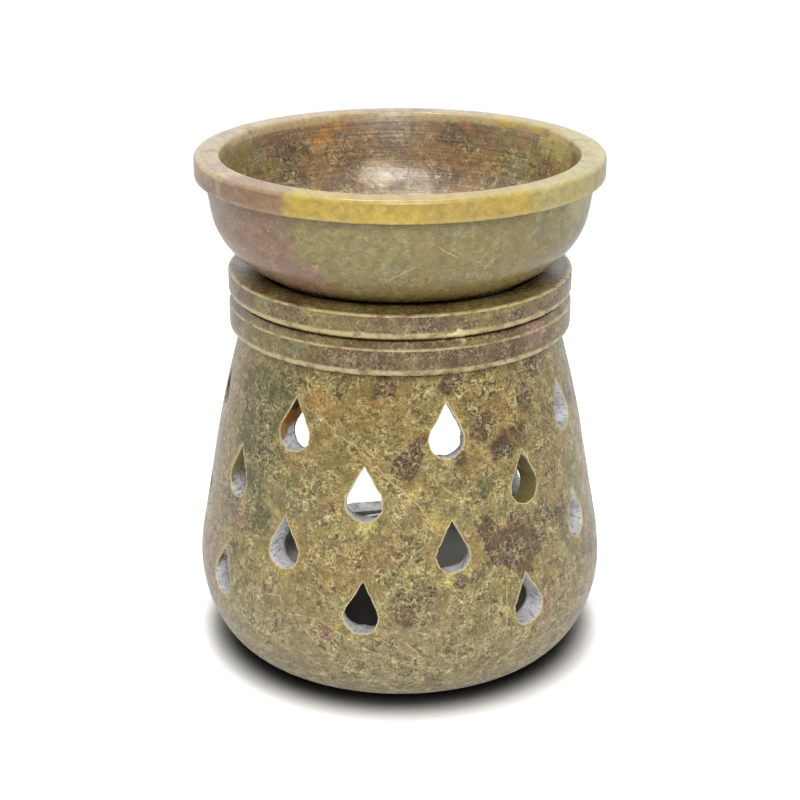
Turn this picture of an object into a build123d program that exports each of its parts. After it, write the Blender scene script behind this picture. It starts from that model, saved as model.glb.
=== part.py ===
from build123d import *
import os
from math import asin, cos, radians, sin

os.makedirs("parts", exist_ok=True)

# An essential oil burner turned from soapstone. Lengths are in millimetres.
# The stones are turned about Z, the foot stands on Z = 0 and the candle door faces +Y.

# Burner body
body_height = 85.4
belly_radius = 44.8
belly_height = 19.5
neck_radius = 34.4
wall = 5.4
foot_curve_width = 12.3
floor_thickness = 4.5
floor_curve_width = 7.4

# The wall between neck and belly: share of the way out to the belly, share of the way up to the neck
wall_line_shares = [(0.90, 0.16), (0.72, 0.35), (0.52, 0.57), (0.26, 0.80)]
neck_slope_share = 0.24

# Two ring mouldings round the neck, with a groove between them
ring_projection = 2.3
lower_ring_height = 5.5
groove_slope_height = 1.6
groove_width = 0.6
groove_depth = 1.5
upper_ring_height = 5.2
ring_underside_rounding = 1.1
ring_top_rounding = 0.5

# Mouth that the oil bowl rests in
mouth_land_width = 8.1
mouth_rounding = 0.5
collar_height = 9.0

# Teardrop cut-outs, in staggered rows from the top down, spread about the front
drop_width = 7.2
drop_height = 11.2
drop_spacing_angle = 48.0
drops_in_row = [7, 6, 5, 6]
top_row_below_neck = 12.3
lowest_row_height = 23.9

# Arched candle door at the back
door_width = 49.0
door_sill_height = 10.0
door_top_below_neck = 19.0
door_corner_radius = 3.0

# Oil bowl
lip_radius = 43.0
lip_width = 5.2
lip_height = 4.8
lip_overhang = 2.2
lip_outer_rounding = 1.0
lip_inner_rounding = 0.8
lip_underside_rounding = 0.6
bowl_height = 27.8
bowl_base_radius = 18.0
bowl_wall = 4.2
bowl_drop = 3.2
bowl_seat_clearance = 0.2

# The bowl's side above its seat: share of the way out to the side radius, share of the way up to the lip
bowl_side_shares = [(0.66, 0.30), (0.87, 0.53), (0.95, 0.77)]
bowl_base_slope_share = 0.2
bowl_side_slope_share = 0.1
lip_inside_slope_share = 0.25

# Tealight, standing on the floor a little nearer the front than the middle
candle_set_forward = 4.0
cup_radius = 19.0
cup_height = 15.0
cup_wall = 0.4
cup_taper = 0.5
cup_rim_width = 0.7
wax_height = 12.4
wax_dip = 0.5
wax_edge_slope_share = 0.8
wick_radius = 0.8
wick_length_above_wax = 7.0
wick_tip_rounding = 0.3
sustainer_radius = 7.0
sustainer_thickness = 0.4
sustainer_neck_height = 4.0
sustainer_neck_wall = 0.5
candle_clearance = 0.06

# How far each cut runs past what it cuts
overrun = 5.0


def along(shares, start, end):
    """Points at the shares of the way across and up from start to end."""
    return [
        (start[0] + across * (end[0] - start[0]), start[1] + up * (end[1] - start[1]))
        for across, up in shares
    ]


def inset(points, depth):
    """The inner points of a line, each moved to its left by depth, square to the line through its neighbours."""
    moved = []
    for before, point, after in zip(points, points[1:], points[2:]):
        run = Vector(after[0] - before[0], after[1] - before[1]).normalized()
        moved.append((point[0] - run.Y * depth, point[1] + run.X * depth))
    return moved


def radial_plane(angle, height, rise=0.0):
    """A plane through the axis, facing out at this angle from the front, with its own Y pointing up.

    It faces up by its rise, in millimetres for each millimetre out.
    """
    turn = radians(angle)
    return Plane(origin=(0, 0, height), x_dir=(cos(turn), sin(turn), 0), z_dir=(sin(turn), -cos(turn), rise))


def wall_at(line, height):
    """The radius of a wall's outer line at this height, and how far the wall leans in for each millimetre up."""
    for (lower_radius, lower_height), (upper_radius, upper_height) in zip(line, line[1:]):
        if height <= upper_height:
            break
    lean = (lower_radius - upper_radius) / (upper_height - lower_height)
    return lower_radius - lean * (height - lower_height), lean


# Burner body: the turned outline, from the foot up the outside and down the inside
upper_ring_bottom = body_height - upper_ring_height
groove_floor = upper_ring_bottom - groove_width
lower_ring_top = groove_floor - groove_slope_height
neck_height = lower_ring_top - lower_ring_height
ring_radius = neck_radius + ring_projection
groove_radius = ring_radius - groove_depth
mouth_radius = ring_radius - mouth_land_width
foot_radius = belly_radius - foot_curve_width
belly_inner_radius = belly_radius - wall
floor_radius = belly_inner_radius - floor_curve_width
wall_points = along(wall_line_shares, (neck_radius, belly_height), (belly_radius, neck_height))
outer_wall = [(belly_radius, belly_height), *wall_points, (neck_radius, neck_height)]
inner_wall = inset(outer_wall, wall)
neck_inner_radius = neck_radius - wall

with BuildPart() as burner_body:
    with BuildSketch(Plane.XZ):
        with BuildLine():
            Line((0, 0), (foot_radius, 0))
            EllipticalCenterArc(
                (foot_radius, belly_height),
                foot_curve_width,
                belly_height,
                start_angle=270,
                arc_size=90,
            )
            Spline(*outer_wall, tangents=[(0, 1), (-neck_slope_share, 1)])
            Polyline(
                (neck_radius, neck_height),
                (ring_radius, neck_height),
                (ring_radius, lower_ring_top),
                (groove_radius, groove_floor),
                (groove_radius, upper_ring_bottom),
                (ring_radius, upper_ring_bottom),
                (ring_radius, body_height),
                (mouth_radius, body_height),
                (mouth_radius, body_height - collar_height),
                (neck_inner_radius, neck_height),
            )
            Spline(
                (neck_inner_radius, neck_height),
                *reversed(inner_wall),
                (belly_inner_radius, belly_height),
                tangents=[(neck_slope_share, -1), (0, -1)],
            )
            EllipticalCenterArc(
                (floor_radius, belly_height),
                floor_curve_width,
                belly_height - floor_thickness,
                start_angle=270,
                arc_size=90,
            )
            Polyline((floor_radius, floor_thickness), (0, floor_thickness), (0, 0))
        make_face()
    revolve(axis=Axis.Z)

    # Turned edges of the rings and of the mouth
    turned_edges = burner_body.edges().filter_by(GeomType.CIRCLE)
    ring_edges = turned_edges.filter_by(lambda edge: abs(edge.radius - ring_radius) < ring_top_rounding)
    ring_edges = ring_edges.sort_by(Axis.Z)
    top_edges = turned_edges.group_by(Axis.Z)[-1].sort_by(SortBy.RADIUS)
    fillet([ring_edges[0], ring_edges[2]], radius=ring_underside_rounding)
    fillet(top_edges[-1], radius=ring_top_rounding)
    fillet(top_edges[0], radius=mouth_rounding)

    # Teardrop cut-outs, cut square to the wall: a round bottom with straight sides that meet in a point
    drop_radius = drop_width / 2
    tip_height = drop_height - drop_radius
    side_angle = asin(drop_radius / tip_height)
    side_x = drop_radius * cos(side_angle)
    side_y = drop_radius * sin(side_angle)
    drop_centre = (drop_height - drop_width) / 2
    top_row_height = neck_height - top_row_below_neck
    row_spacing = (top_row_height - lowest_row_height) / (len(drops_in_row) - 1)
    for row, count in enumerate(drops_in_row):
        row_height = top_row_height - row * row_spacing - drop_centre
        row_radius, row_lean = wall_at(outer_wall, row_height)
        axis_height = row_height - row_lean * row_radius
        first_angle = -drop_spacing_angle * (count - 1) / 2
        for place in range(count):
            with BuildSketch(radial_plane(first_angle + place * drop_spacing_angle, axis_height, row_lean)):
                with BuildLine():
                    Line((side_x, side_y), (0, tip_height))
                    Line((0, tip_height), (-side_x, side_y))
                    ThreePointArc((-side_x, side_y), (0, -drop_radius), (side_x, side_y))
                make_face()
            extrude(amount=belly_radius + overrun, mode=Mode.SUBTRACT)

    # Candle door: a round arch over straight jambs
    arch_radius = door_width / 2
    door_top_height = neck_height - door_top_below_neck
    spring_height = door_top_height - arch_radius
    with BuildSketch(radial_plane(180, door_sill_height)):
        with BuildLine():
            Polyline(
                (arch_radius, spring_height - door_sill_height),
                (arch_radius, 0),
                (-arch_radius, 0),
                (-arch_radius, spring_height - door_sill_height),
            )
            ThreePointArc(
                (-arch_radius, spring_height - door_sill_height),
                (0, door_top_height - door_sill_height),
                (arch_radius, spring_height - door_sill_height),
            )
        door_face = make_face()
        fillet(door_face.vertices().group_by(Axis.Y)[0], radius=door_corner_radius)
    extrude(amount=belly_radius + overrun, mode=Mode.SUBTRACT)

burner_body.part.label = "burner_body"
export_step(burner_body.part, "parts/burner_body.step")

# Oil bowl: its round underside rests on the mouth's edge, and its base hangs just inside
bowl_base = body_height - bowl_drop
lip_top = bowl_base + bowl_height
lip_underside = lip_top - lip_height
lip_inner_radius = lip_radius - lip_width
bowl_side_radius = lip_radius - lip_overhang
bowl_seat = (mouth_radius, body_height + bowl_seat_clearance)
bowl_points = along(bowl_side_shares, bowl_seat, (bowl_side_radius, lip_underside))
outer_bowl = [(bowl_base_radius, bowl_base), bowl_seat, *bowl_points, (bowl_side_radius, lip_underside)]
inner_bowl = inset(outer_bowl, bowl_wall)

with BuildPart() as oil_bowl:
    with BuildSketch(Plane.XZ):
        with BuildLine():
            Line((0, bowl_base), (bowl_base_radius, bowl_base))
            Spline(*outer_bowl, tangents=[(1, bowl_base_slope_share), (bowl_side_slope_share, 1)])
            Polyline(
                (bowl_side_radius, lip_underside),
                (lip_radius, lip_underside),
                (lip_radius, lip_top),
                (lip_inner_radius, lip_top),
            )
            Spline(
                (lip_inner_radius, lip_top),
                *reversed(inner_bowl),
                (0, bowl_base + bowl_wall),
                tangents=[(-lip_inside_slope_share, -1), (-1, 0)],
            )
            Line((0, bowl_base + bowl_wall), (0, bowl_base))
        make_face()
    revolve(axis=Axis.Z)

    lip_edges = oil_bowl.edges().filter_by(GeomType.CIRCLE).sort_by(SortBy.RADIUS)[-2:].sort_by(Axis.Z)
    inner_edge = oil_bowl.edges().filter_by(GeomType.CIRCLE).group_by(Axis.Z)[-1].sort_by(SortBy.RADIUS)[0]
    fillet(lip_edges[1], radius=lip_outer_rounding)
    fillet(lip_edges[0], radius=lip_underside_rounding)
    fillet(inner_edge, radius=lip_inner_rounding)

oil_bowl.part.label = "oil_bowl"
export_step(oil_bowl.part, "parts/oil_bowl.step")

# The candle's own axis, and the upright plane through it that its turned outlines are drawn on
candle_axis = Axis((0, -candle_set_forward, 0), (0, 0, 1))
candle_plane = Plane.XZ.offset(candle_set_forward)


def candle_level(height):
    """A level plane at this height, with its origin on the candle's axis."""
    return Plane(origin=(0, -candle_set_forward, height))


# Tealight cup: a thin tapered pressing with a rim turned out at the top, standing on the floor
cup_base = floor_thickness
cup_top = cup_base + cup_height
cup_foot_radius = cup_radius - cup_taper
cup_floor = cup_base + cup_wall

with BuildPart() as tealight_cup:
    with BuildSketch(candle_plane):
        with BuildLine():
            Polyline(
                (0, cup_base),
                (cup_foot_radius, cup_base),
                (cup_radius, cup_top - cup_wall),
                (cup_radius + cup_rim_width, cup_top - cup_wall),
                (cup_radius + cup_rim_width, cup_top),
                (cup_radius - cup_wall, cup_top),
                (cup_foot_radius - cup_wall, cup_floor),
                (0, cup_floor),
                (0, cup_base),
            )
        make_face()
    revolve(axis=candle_axis)

tealight_cup.part.label = "tealight_cup"
export_step(tealight_cup.part, "parts/tealight_cup.step")

# Wick sustainer: a tin disc on the cup's floor, with a neck that grips the wick
neck_bore_radius = wick_radius + candle_clearance
sustainer_neck_radius = neck_bore_radius + sustainer_neck_wall
sustainer_top = cup_floor + sustainer_thickness
sustainer_neck_top = sustainer_top + sustainer_neck_height

with BuildPart() as wick_sustainer:
    with BuildSketch(candle_level(cup_floor)):
        Circle(sustainer_radius)
    extrude(amount=sustainer_thickness)
    with BuildSketch(candle_level(sustainer_top)):
        Circle(sustainer_neck_radius)
        Circle(neck_bore_radius, mode=Mode.SUBTRACT)
    extrude(amount=sustainer_neck_height)

wick_sustainer.part.label = "wick_sustainer"
export_step(wick_sustainer.part, "parts/wick_sustainer.step")

# Wick: it stands on the sustainer's disc and runs up through the neck and the wax
wax_top = cup_floor + wax_height

with BuildPart() as wick:
    with BuildSketch(candle_level(sustainer_top)):
        Circle(wick_radius)
    extrude(amount=wax_top + wick_length_above_wax - sustainer_top)
    fillet(wick.edges().group_by(Axis.Z)[-1], radius=wick_tip_rounding)

wick.part.label = "wick"
export_step(wick.part, "parts/wick.step")

# Wax: it fills the cup round the sustainer, and its top dips a little towards the wick
wax_foot_radius = cup_foot_radius - cup_wall - candle_clearance
wax_top_radius = wax_foot_radius + cup_taper * wax_height / cup_height
pocket_radius = sustainer_radius + candle_clearance
pocket_top = sustainer_top + candle_clearance
neck_pocket_radius = sustainer_neck_radius + candle_clearance
neck_pocket_top = sustainer_neck_top + candle_clearance

with BuildPart() as tealight_wax:
    with BuildSketch(candle_plane):
        with BuildLine():
            Polyline(
                (neck_bore_radius, wax_top - wax_dip),
                (neck_bore_radius, neck_pocket_top),
                (neck_pocket_radius, neck_pocket_top),
                (neck_pocket_radius, pocket_top),
                (pocket_radius, pocket_top),
                (pocket_radius, cup_floor),
                (wax_foot_radius, cup_floor),
                (wax_top_radius, wax_top),
            )
            Spline(
                (wax_top_radius, wax_top),
                (neck_bore_radius, wax_top - wax_dip),
                tangents=[(-1, -wax_edge_slope_share), (-1, 0)],
            )
        make_face()
    revolve(axis=candle_axis)

tealight_wax.part.label = "tealight_wax"
export_step(tealight_wax.part, "parts/tealight_wax.step")
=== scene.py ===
"""The looks of a turned soapstone oil burner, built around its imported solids.

Lengths are in metres in the frame of the solids: +Z runs up the turning axis, the front is -Y and the candle
door faces +Y. Azimuths are in degrees round that axis from the front, positive towards +X.
"""

import logging
import math
import random
from collections.abc import Mapping, Sequence
from dataclasses import dataclass, field
from enum import Enum
from functools import reduce

import bmesh
import bpy
from mathutils import Matrix, Vector


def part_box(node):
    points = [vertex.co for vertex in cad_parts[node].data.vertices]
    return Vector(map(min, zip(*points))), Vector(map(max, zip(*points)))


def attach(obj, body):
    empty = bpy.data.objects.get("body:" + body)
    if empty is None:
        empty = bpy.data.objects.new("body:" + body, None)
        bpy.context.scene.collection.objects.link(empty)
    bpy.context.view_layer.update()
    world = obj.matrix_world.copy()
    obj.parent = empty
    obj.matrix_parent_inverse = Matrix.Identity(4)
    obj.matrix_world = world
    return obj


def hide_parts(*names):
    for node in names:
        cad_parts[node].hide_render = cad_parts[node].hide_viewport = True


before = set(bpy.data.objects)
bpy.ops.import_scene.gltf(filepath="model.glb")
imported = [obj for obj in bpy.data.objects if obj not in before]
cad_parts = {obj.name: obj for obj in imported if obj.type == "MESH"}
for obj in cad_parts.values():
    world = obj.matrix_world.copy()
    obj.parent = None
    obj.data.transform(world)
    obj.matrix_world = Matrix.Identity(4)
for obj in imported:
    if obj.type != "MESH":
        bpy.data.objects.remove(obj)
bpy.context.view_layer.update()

LOG = logging.getLogger("oil_burner")
MM = 0.001
WELD = 0.001 * MM
SLIVER = 0.0005 * MM
WHITE = (1.0, 1.0, 1.0, 1.0)

Point = tuple[float, float]
Corner = tuple[float, float, float]
Colour = tuple[float, ...]
Wire = bpy.types.NodeSocket
Feed = Wire | float | str | Sequence[float] | bpy.types.ID | None


def paint(red: int, green: int, blue: int) -> Colour:
    """Turns a screen colour of 0 to 255 into the linear colour that a shader takes.

    Args:
        red: The red level.
        green: The green level.
        blue: The blue level.

    Returns:
        The linear colour, with an alpha of one.
    """
    shares = (level / 255 for level in (red, green, blue))
    linear = [share / 12.92 if share <= 0.04045 else ((share + 0.055) / 1.055) ** 2.4 for share in shares]
    return (*linear, 1.0)


def around(azimuth: float, radius: float, height: float) -> Vector:
    """Gives the place at an azimuth in degrees, a radius and a height."""
    turn = math.radians(azimuth)
    return Vector((radius * math.sin(turn), -radius * math.cos(turn), height))


@dataclass(frozen=True)
class Clouds:
    """Cloudy noise.

    It has the size of its largest clouds in metres, the number and strength of the finer layers on them,
    and how far they are twisted.
    """

    size: float
    detail: float = 2.0
    roughness: float = 0.5
    twist: float = 0.0


@dataclass(frozen=True)
class Drift:
    """A cloudy offset that moves places about: the size of its clouds and how far it reaches, in metres."""

    size: float
    reach: float
    detail: float = 2.0


class Graph:
    """A node tree being wired. Each method adds a node, feeds its inputs and returns what it gives."""

    MEASURES = ("LENGTH", "DISTANCE", "DOT_PRODUCT")

    def __init__(self, tree: bpy.types.NodeTree) -> None:
        """Starts wiring in a tree."""
        self.tree = tree

    def node(
        self, kind: str, feeds: Mapping[str | int, Feed] | None = None, **settings: object
    ) -> bpy.types.Node:
        """Adds a node.

        Args:
            kind: The node's type.
            feeds: What goes into its inputs, by name or place: another node's output, or a value.
            settings: The node's own settings.

        Returns:
            The node.
        """
        node = self.tree.nodes.new(kind)
        for name, value in settings.items():
            setattr(node, name, value)
        for place, value in (feeds or {}).items():
            if isinstance(value, bpy.types.NodeSocket):
                self.tree.links.new(value, node.inputs[place])
            else:
                node.inputs[place].default_value = value
        return node

    def math(self, operation: str, *values: Feed) -> Wire:
        """Adds a sum on numbers, and returns its result."""
        return self.node("ShaderNodeMath", dict(enumerate(values)), operation=operation).outputs[0]

    def times(self, *values: Feed) -> Wire:
        """Multiplies numbers."""
        return reduce(lambda first, second: self.math("MULTIPLY", first, second), values)

    def plus(self, *values: Feed) -> Wire:
        """Adds numbers up."""
        return reduce(lambda first, second: self.math("ADD", first, second), values)

    def minus(self, first: Feed, second: Feed) -> Wire:
        """Takes the second number from the first."""
        return self.math("SUBTRACT", first, second)

    def most(self, first: Feed, second: Feed) -> Wire:
        """Gives the larger of two numbers."""
        return self.math("MAXIMUM", first, second)

    def vector(self, operation: str, *values: Feed) -> Wire:
        """Adds a sum on vectors, and returns its vector, or its number where it measures."""
        node = self.node("ShaderNodeVectorMath", dict(enumerate(values)), operation=operation)
        return node.outputs["Value" if operation in self.MEASURES else "Vector"]

    def scaled(self, vector: Feed, factor: Feed) -> Wire:
        """Scales a vector by a number."""
        return self.node("ShaderNodeVectorMath", {0: vector, "Scale": factor}, operation="SCALE").outputs[0]

    def parts(self, vector: Feed) -> Mapping[str, Wire]:
        """Splits a vector into its X, Y and Z."""
        return self.node("ShaderNodeSeparateXYZ", {0: vector}).outputs

    def joined(self, across: Feed = 0.0, deep: Feed = 0.0, up: Feed = 0.0) -> Wire:
        """Joins an X, a Y and a Z into a vector."""
        return self.node("ShaderNodeCombineXYZ", {"X": across, "Y": deep, "Z": up}).outputs[0]

    def between(self, factor: Feed, first: Feed, second: Feed) -> Wire:
        """Gives the number that lies at a factor of the way from the first to the second."""
        return self.node("ShaderNodeMix", {0: factor, 2: first, 3: second}).outputs[0]

    def ramp(self, value: Feed, start: Feed, end: Feed) -> Wire:
        """Runs smoothly from 0 at start to 1 at end; start may be the higher of the two."""
        feeds = {"Value": value, "From Min": start, "From Max": end}
        return self.node("ShaderNodeMapRange", feeds, interpolation_type="SMOOTHSTEP").outputs[0]

    def span(self, value: Feed, start: Feed, end: Feed, low: Feed, high: Feed) -> Wire:
        """Runs in a straight line from low at start to high at end, and stays level outside them."""
        feeds = {"Value": value, "From Min": start, "From Max": end, "To Min": low, "To Max": high}
        return self.node("ShaderNodeMapRange", feeds).outputs[0]

    def noise(self, at: Feed, clouds: Clouds) -> Wire:
        """Reads cloudy noise at places.

        Args:
            at: The places.
            clouds: The noise.

        Returns:
            The noise, about 0.5 on average.
        """
        feeds = {"Vector": at, "Scale": 1 / clouds.size, "Detail": clouds.detail}
        feeds |= {"Roughness": clouds.roughness, "Distortion": clouds.twist}
        return self.node("ShaderNodeTexNoise", feeds).outputs["Fac"]

    def moved(self, at: Feed, *drifts: Drift) -> Wire:
        """Moves places about, so that what is drawn there has ragged edges.

        Args:
            at: The places.
            drifts: The offsets that move them, one after another.

        Returns:
            The moved places.
        """
        for drift in drifts:
            feeds = {"Vector": at, "Scale": 1 / drift.size, "Detail": drift.detail}
            clouds = self.node("ShaderNodeTexNoise", feeds).outputs["Color"]
            centred = self.vector("SUBTRACT", clouds, (0.5, 0.5, 0.5))
            at = self.vector("ADD", at, self.scaled(centred, 2 * drift.reach))
        return at


class FinishGraph(Graph):
    """A material being wired, which reads the places on its own piece."""

    def __init__(self, name: str) -> None:
        """Makes the material, empty but for the places on the piece.

        Args:
            name: The material's name.
        """
        self.material = bpy.data.materials.new(name)
        self.material.use_nodes = True
        self.material.node_tree.nodes.clear()
        super().__init__(self.material.node_tree)
        self.at = self.node("ShaderNodeTexCoord").outputs["Object"]

    def number(self, name: str) -> Wire:
        """Reads a number kept on the mesh."""
        return self.node("ShaderNodeAttribute", attribute_name=name).outputs["Fac"]

    def mapped(self, at: Feed, scale: Sequence[float], **feeds: Feed) -> Wire:
        """Stretches places by a scale, and moves or turns them where a Location or a Rotation is given."""
        return self.node("ShaderNodeMapping", {"Vector": at, "Scale": scale, **feeds}).outputs[0]

    def blend(self, factor: Feed, under: Feed, over: Feed, way: str = "MIX") -> Wire:
        """Lays one colour over another by a factor."""
        feeds = {0: factor, 6: under, 7: over}
        return self.node("ShaderNodeMix", feeds, data_type="RGBA", blend_type=way).outputs[2]

    def grey(self, level: Feed) -> Wire:
        """Gives the grey of a level."""
        return self.node("ShaderNodeCombineColor", {"Red": level, "Green": level, "Blue": level}).outputs[0]

    def shade(self, colour: Wire, level: Feed) -> Wire:
        """Makes a colour lighter or darker by a level about one, or by a colour."""
        return self.blend(1.0, colour, level if isinstance(level, tuple) else self.grey(level), "MULTIPLY")

    def coat(self, relief: Wire, feeds: Mapping[str, Feed]) -> bpy.types.Material:
        """Ends the material with its shader.

        Args:
            relief: The fine height of the surface, in metres.
            feeds: The inputs of the shader.

        Returns:
            The material.
        """
        bump = self.node("ShaderNodeBump", {"Height": relief, "Distance": 1.0, "Strength": 1.0}).outputs[0]
        shader = self.node("ShaderNodeBsdfPrincipled", {**feeds, "Normal": bump}).outputs[0]
        return self.end(shader)

    def end(self, shader: Wire) -> bpy.types.Material:
        """Gives the material its surface, and returns it."""
        self.node("ShaderNodeOutputMaterial", {"Surface": shader})
        return self.material


class GrowthGraph(Graph):
    """A geometry tree being wired, with named inputs and one geometry output."""

    KINDS = {
        float: "NodeSocketFloat",
        int: "NodeSocketInt",
        bpy.types.Object: "NodeSocketObject",
        bpy.types.Material: "NodeSocketMaterial",
    }

    def __init__(self, name: str, inputs: Mapping[str, type]) -> None:
        """Makes the tree and its interface.

        Args:
            name: The tree's name.
            inputs: The type of each named input, besides the geometry and the finish.
        """
        super().__init__(bpy.data.node_groups.new(name, "GeometryNodeTree"))
        faces = self.tree.interface
        faces.new_socket("Geometry", in_out="INPUT", socket_type="NodeSocketGeometry")
        faces.new_socket("Geometry", in_out="OUTPUT", socket_type="NodeSocketGeometry")
        for label, kind in {**inputs, "Finish": bpy.types.Material}.items():
            faces.new_socket(label, in_out="INPUT", socket_type=self.KINDS[kind])
        self.entry = self.node("NodeGroupInput").outputs

    def index(self, operation: str, *values: Feed) -> Wire:
        """Adds a sum on whole numbers."""
        return self.node("FunctionNodeIntegerMath", dict(enumerate(values)), operation=operation).outputs[0]

    def position(self) -> Wire:
        """Gives each point's place."""
        return self.node("GeometryNodeInputPosition").outputs[0]

    def named(self, name: str) -> Wire:
        """Gives each point's value of a named number."""
        return self.node("GeometryNodeInputNamedAttribute", {"Name": name}).outputs["Attribute"]

    def store(self, geometry: Wire, name: str, value: Feed) -> Wire:
        """Keeps a number on each point under a name."""
        feeds = {"Geometry": geometry, "Name": name, "Value": value}
        return self.node("GeometryNodeStoreNamedAttribute", feeds).outputs[0]

    def place(self, geometry: Wire, position: Feed) -> Wire:
        """Puts each point at a place."""
        return self.node("GeometryNodeSetPosition", {"Geometry": geometry, "Position": position}).outputs[0]

    def nudge(self, geometry: Wire, offset: Feed) -> Wire:
        """Moves each point by an offset."""
        return self.node("GeometryNodeSetPosition", {"Geometry": geometry, "Offset": offset}).outputs[0]

    def read(self, geometry: Wire, value: Feed, index: Feed, kind: str = "FLOAT") -> Wire:
        """Reads a value from one point of a geometry, by the point's place in the list."""
        feeds = {"Geometry": geometry, "Value": value, "Index": index}
        return self.node("GeometryNodeSampleIndex", feeds, data_type=kind).outputs[0]

    def copies(self, points: Wire, form: Wire) -> Wire:
        """Puts a real copy of a form at each point."""
        instances = self.node("GeometryNodeInstanceOnPoints", {"Points": points, "Instance": form}).outputs[0]
        return self.node("GeometryNodeRealizeInstances", {"Geometry": instances}).outputs[0]

    def count(self, geometry: Wire) -> Wire:
        """Counts the points of a geometry."""
        return self.node("GeometryNodeAttributeDomainSize", {"Geometry": geometry}).outputs["Point Count"]

    def object(self, name: str) -> Wire:
        """Gives the geometry of the object that a named input holds."""
        return self.node("GeometryNodeObjectInfo", {"Object": self.entry[name]}).outputs["Geometry"]

    def distance(self, geometry: Wire) -> Wire:
        """Measures how far each point is from the faces of a geometry."""
        feeds = {"Geometry": geometry}
        return self.node("GeometryNodeProximity", feeds, target_element="FACES").outputs["Distance"]

    def toward(self, factor: Feed, first: Feed, second: Feed) -> Wire:
        """Gives the vector that lies at a factor of the way from the first to the second."""
        return self.node("ShaderNodeMix", {0: factor, 4: first, 5: second}, data_type="VECTOR").outputs[1]

    def finish(self, geometry: Wire, crease: Feed) -> bpy.types.NodeTree:
        """Ends the tree: shades the form, realizes its instances and gives it its material.

        Args:
            geometry: The form.
            crease: The angle in radians above which an edge stays sharp.

        Returns:
            The tree.
        """
        angle = self.node("GeometryNodeInputMeshEdgeAngle").outputs["Unsigned Angle"]
        sharp = self.node("FunctionNodeCompare", {0: angle, 1: crease}, operation="GREATER_THAN").outputs[0]
        smooth = self.node("GeometryNodeSetShadeSmooth", {"Geometry": geometry, "Shade Smooth": True})
        feeds = {"Geometry": smooth.outputs[0], "Selection": sharp, "Shade Smooth": False}
        shaded = self.node("GeometryNodeSetShadeSmooth", feeds, domain="EDGE")
        whole = self.node("GeometryNodeRealizeInstances", {"Geometry": shaded.outputs[0]}).outputs[0]
        feeds = {"Geometry": whole, "Material": self.entry["Finish"]}
        self.node("NodeGroupOutput", {"Geometry": self.node("GeometryNodeSetMaterial", feeds).outputs[0]})
        return self.tree


def join_split_edges(mesh: bpy.types.Mesh) -> None:
    """Removes faces without area, and the points that cutting leaves part way along an edge.

    Only two edges meet at such a point. Left in, the two faces beside it would each be split there, into a
    pair of stray slivers back to back.

    Args:
        mesh: The mesh to tidy.
    """
    form = bmesh.new()
    form.from_mesh(mesh)
    for _ in range(2):
        bmesh.ops.dissolve_degenerate(form, dist=SLIVER, edges=form.edges)
        spare = [point for point in form.verts if len(point.link_edges) == 2]
        bmesh.ops.dissolve_verts(form, verts=spare)
    form.to_mesh(mesh)
    form.free()


def grow(piece: bpy.types.Object, tree: bpy.types.NodeTree, inputs: Mapping[str, object]) -> None:
    """Runs a geometry tree on a piece and keeps the result as the piece's own plain mesh.

    Args:
        piece: The piece whose mesh goes in.
        tree: The tree to run.
        inputs: The values of its named inputs.
    """
    modifier = piece.modifiers.new(tree.name, "NODES")
    modifier.node_group = tree
    for socket in tree.interface.items_tree:
        if socket.in_out == "INPUT" and socket.name in inputs:
            modifier[socket.identifier] = inputs[socket.name]
    evaluated = piece.evaluated_get(bpy.context.evaluated_depsgraph_get())
    grown = bpy.data.meshes.new_from_object(evaluated)
    piece.modifiers.remove(modifier)
    piece.data = grown
    grown.name = piece.name
    join_split_edges(grown)


def scratch_mesh(
    name: str,
    points: Sequence[Sequence[float]],
    numbers: Mapping[str, Sequence[float]] | None = None,
    edges: Sequence[tuple[int, int]] = (),
) -> bpy.types.Object:
    """Makes an object of points, with numbers kept on them.

    Args:
        name: The object's name.
        points: The places of its points.
        numbers: The named numbers of each point.
        edges: Pairs of points that are joined.

    Returns:
        The object, linked to the scene.
    """
    mesh = bpy.data.meshes.new(name)
    mesh.from_pydata(points, edges, [])
    for label, values in (numbers or {}).items():
        mesh.attributes.new(label, "FLOAT", "POINT").data.foreach_set("value", list(values))
    thing = bpy.data.objects.new(name, mesh)
    bpy.context.scene.collection.objects.link(thing)
    return thing


def solve_slopes(
    points: Sequence[Vector], lengths: Sequence[float], first: Vector, last: Vector
) -> list[Vector]:
    """Finds the slope at each point of the smoothest curve through them.

    Args:
        points: The points that the curve passes.
        lengths: The distance from each point to the next.
        first: The slope at the first point.
        last: The slope at the last point.

    Returns:
        The slope at every point.
    """
    count = len(points)
    steps = [(after - before) / length for before, after, length in zip(points, points[1:], lengths)]
    slopes = [first] + [Vector((0.0, 0.0))] * (count - 2) + [last]
    shares = [0.0] * count
    for place in range(1, count - 1):
        before, after = lengths[place - 1], lengths[place]
        pull = 3 * (after * steps[place - 1] + before * steps[place])
        pivot = 2 * (before + after) - after * shares[place - 1]
        shares[place] = before / pivot
        slopes[place] = (pull - after * slopes[place - 1]) / pivot
    for place in range(count - 2, 0, -1):
        slopes[place] = slopes[place] - shares[place] * slopes[place + 1]
    return slopes


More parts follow.
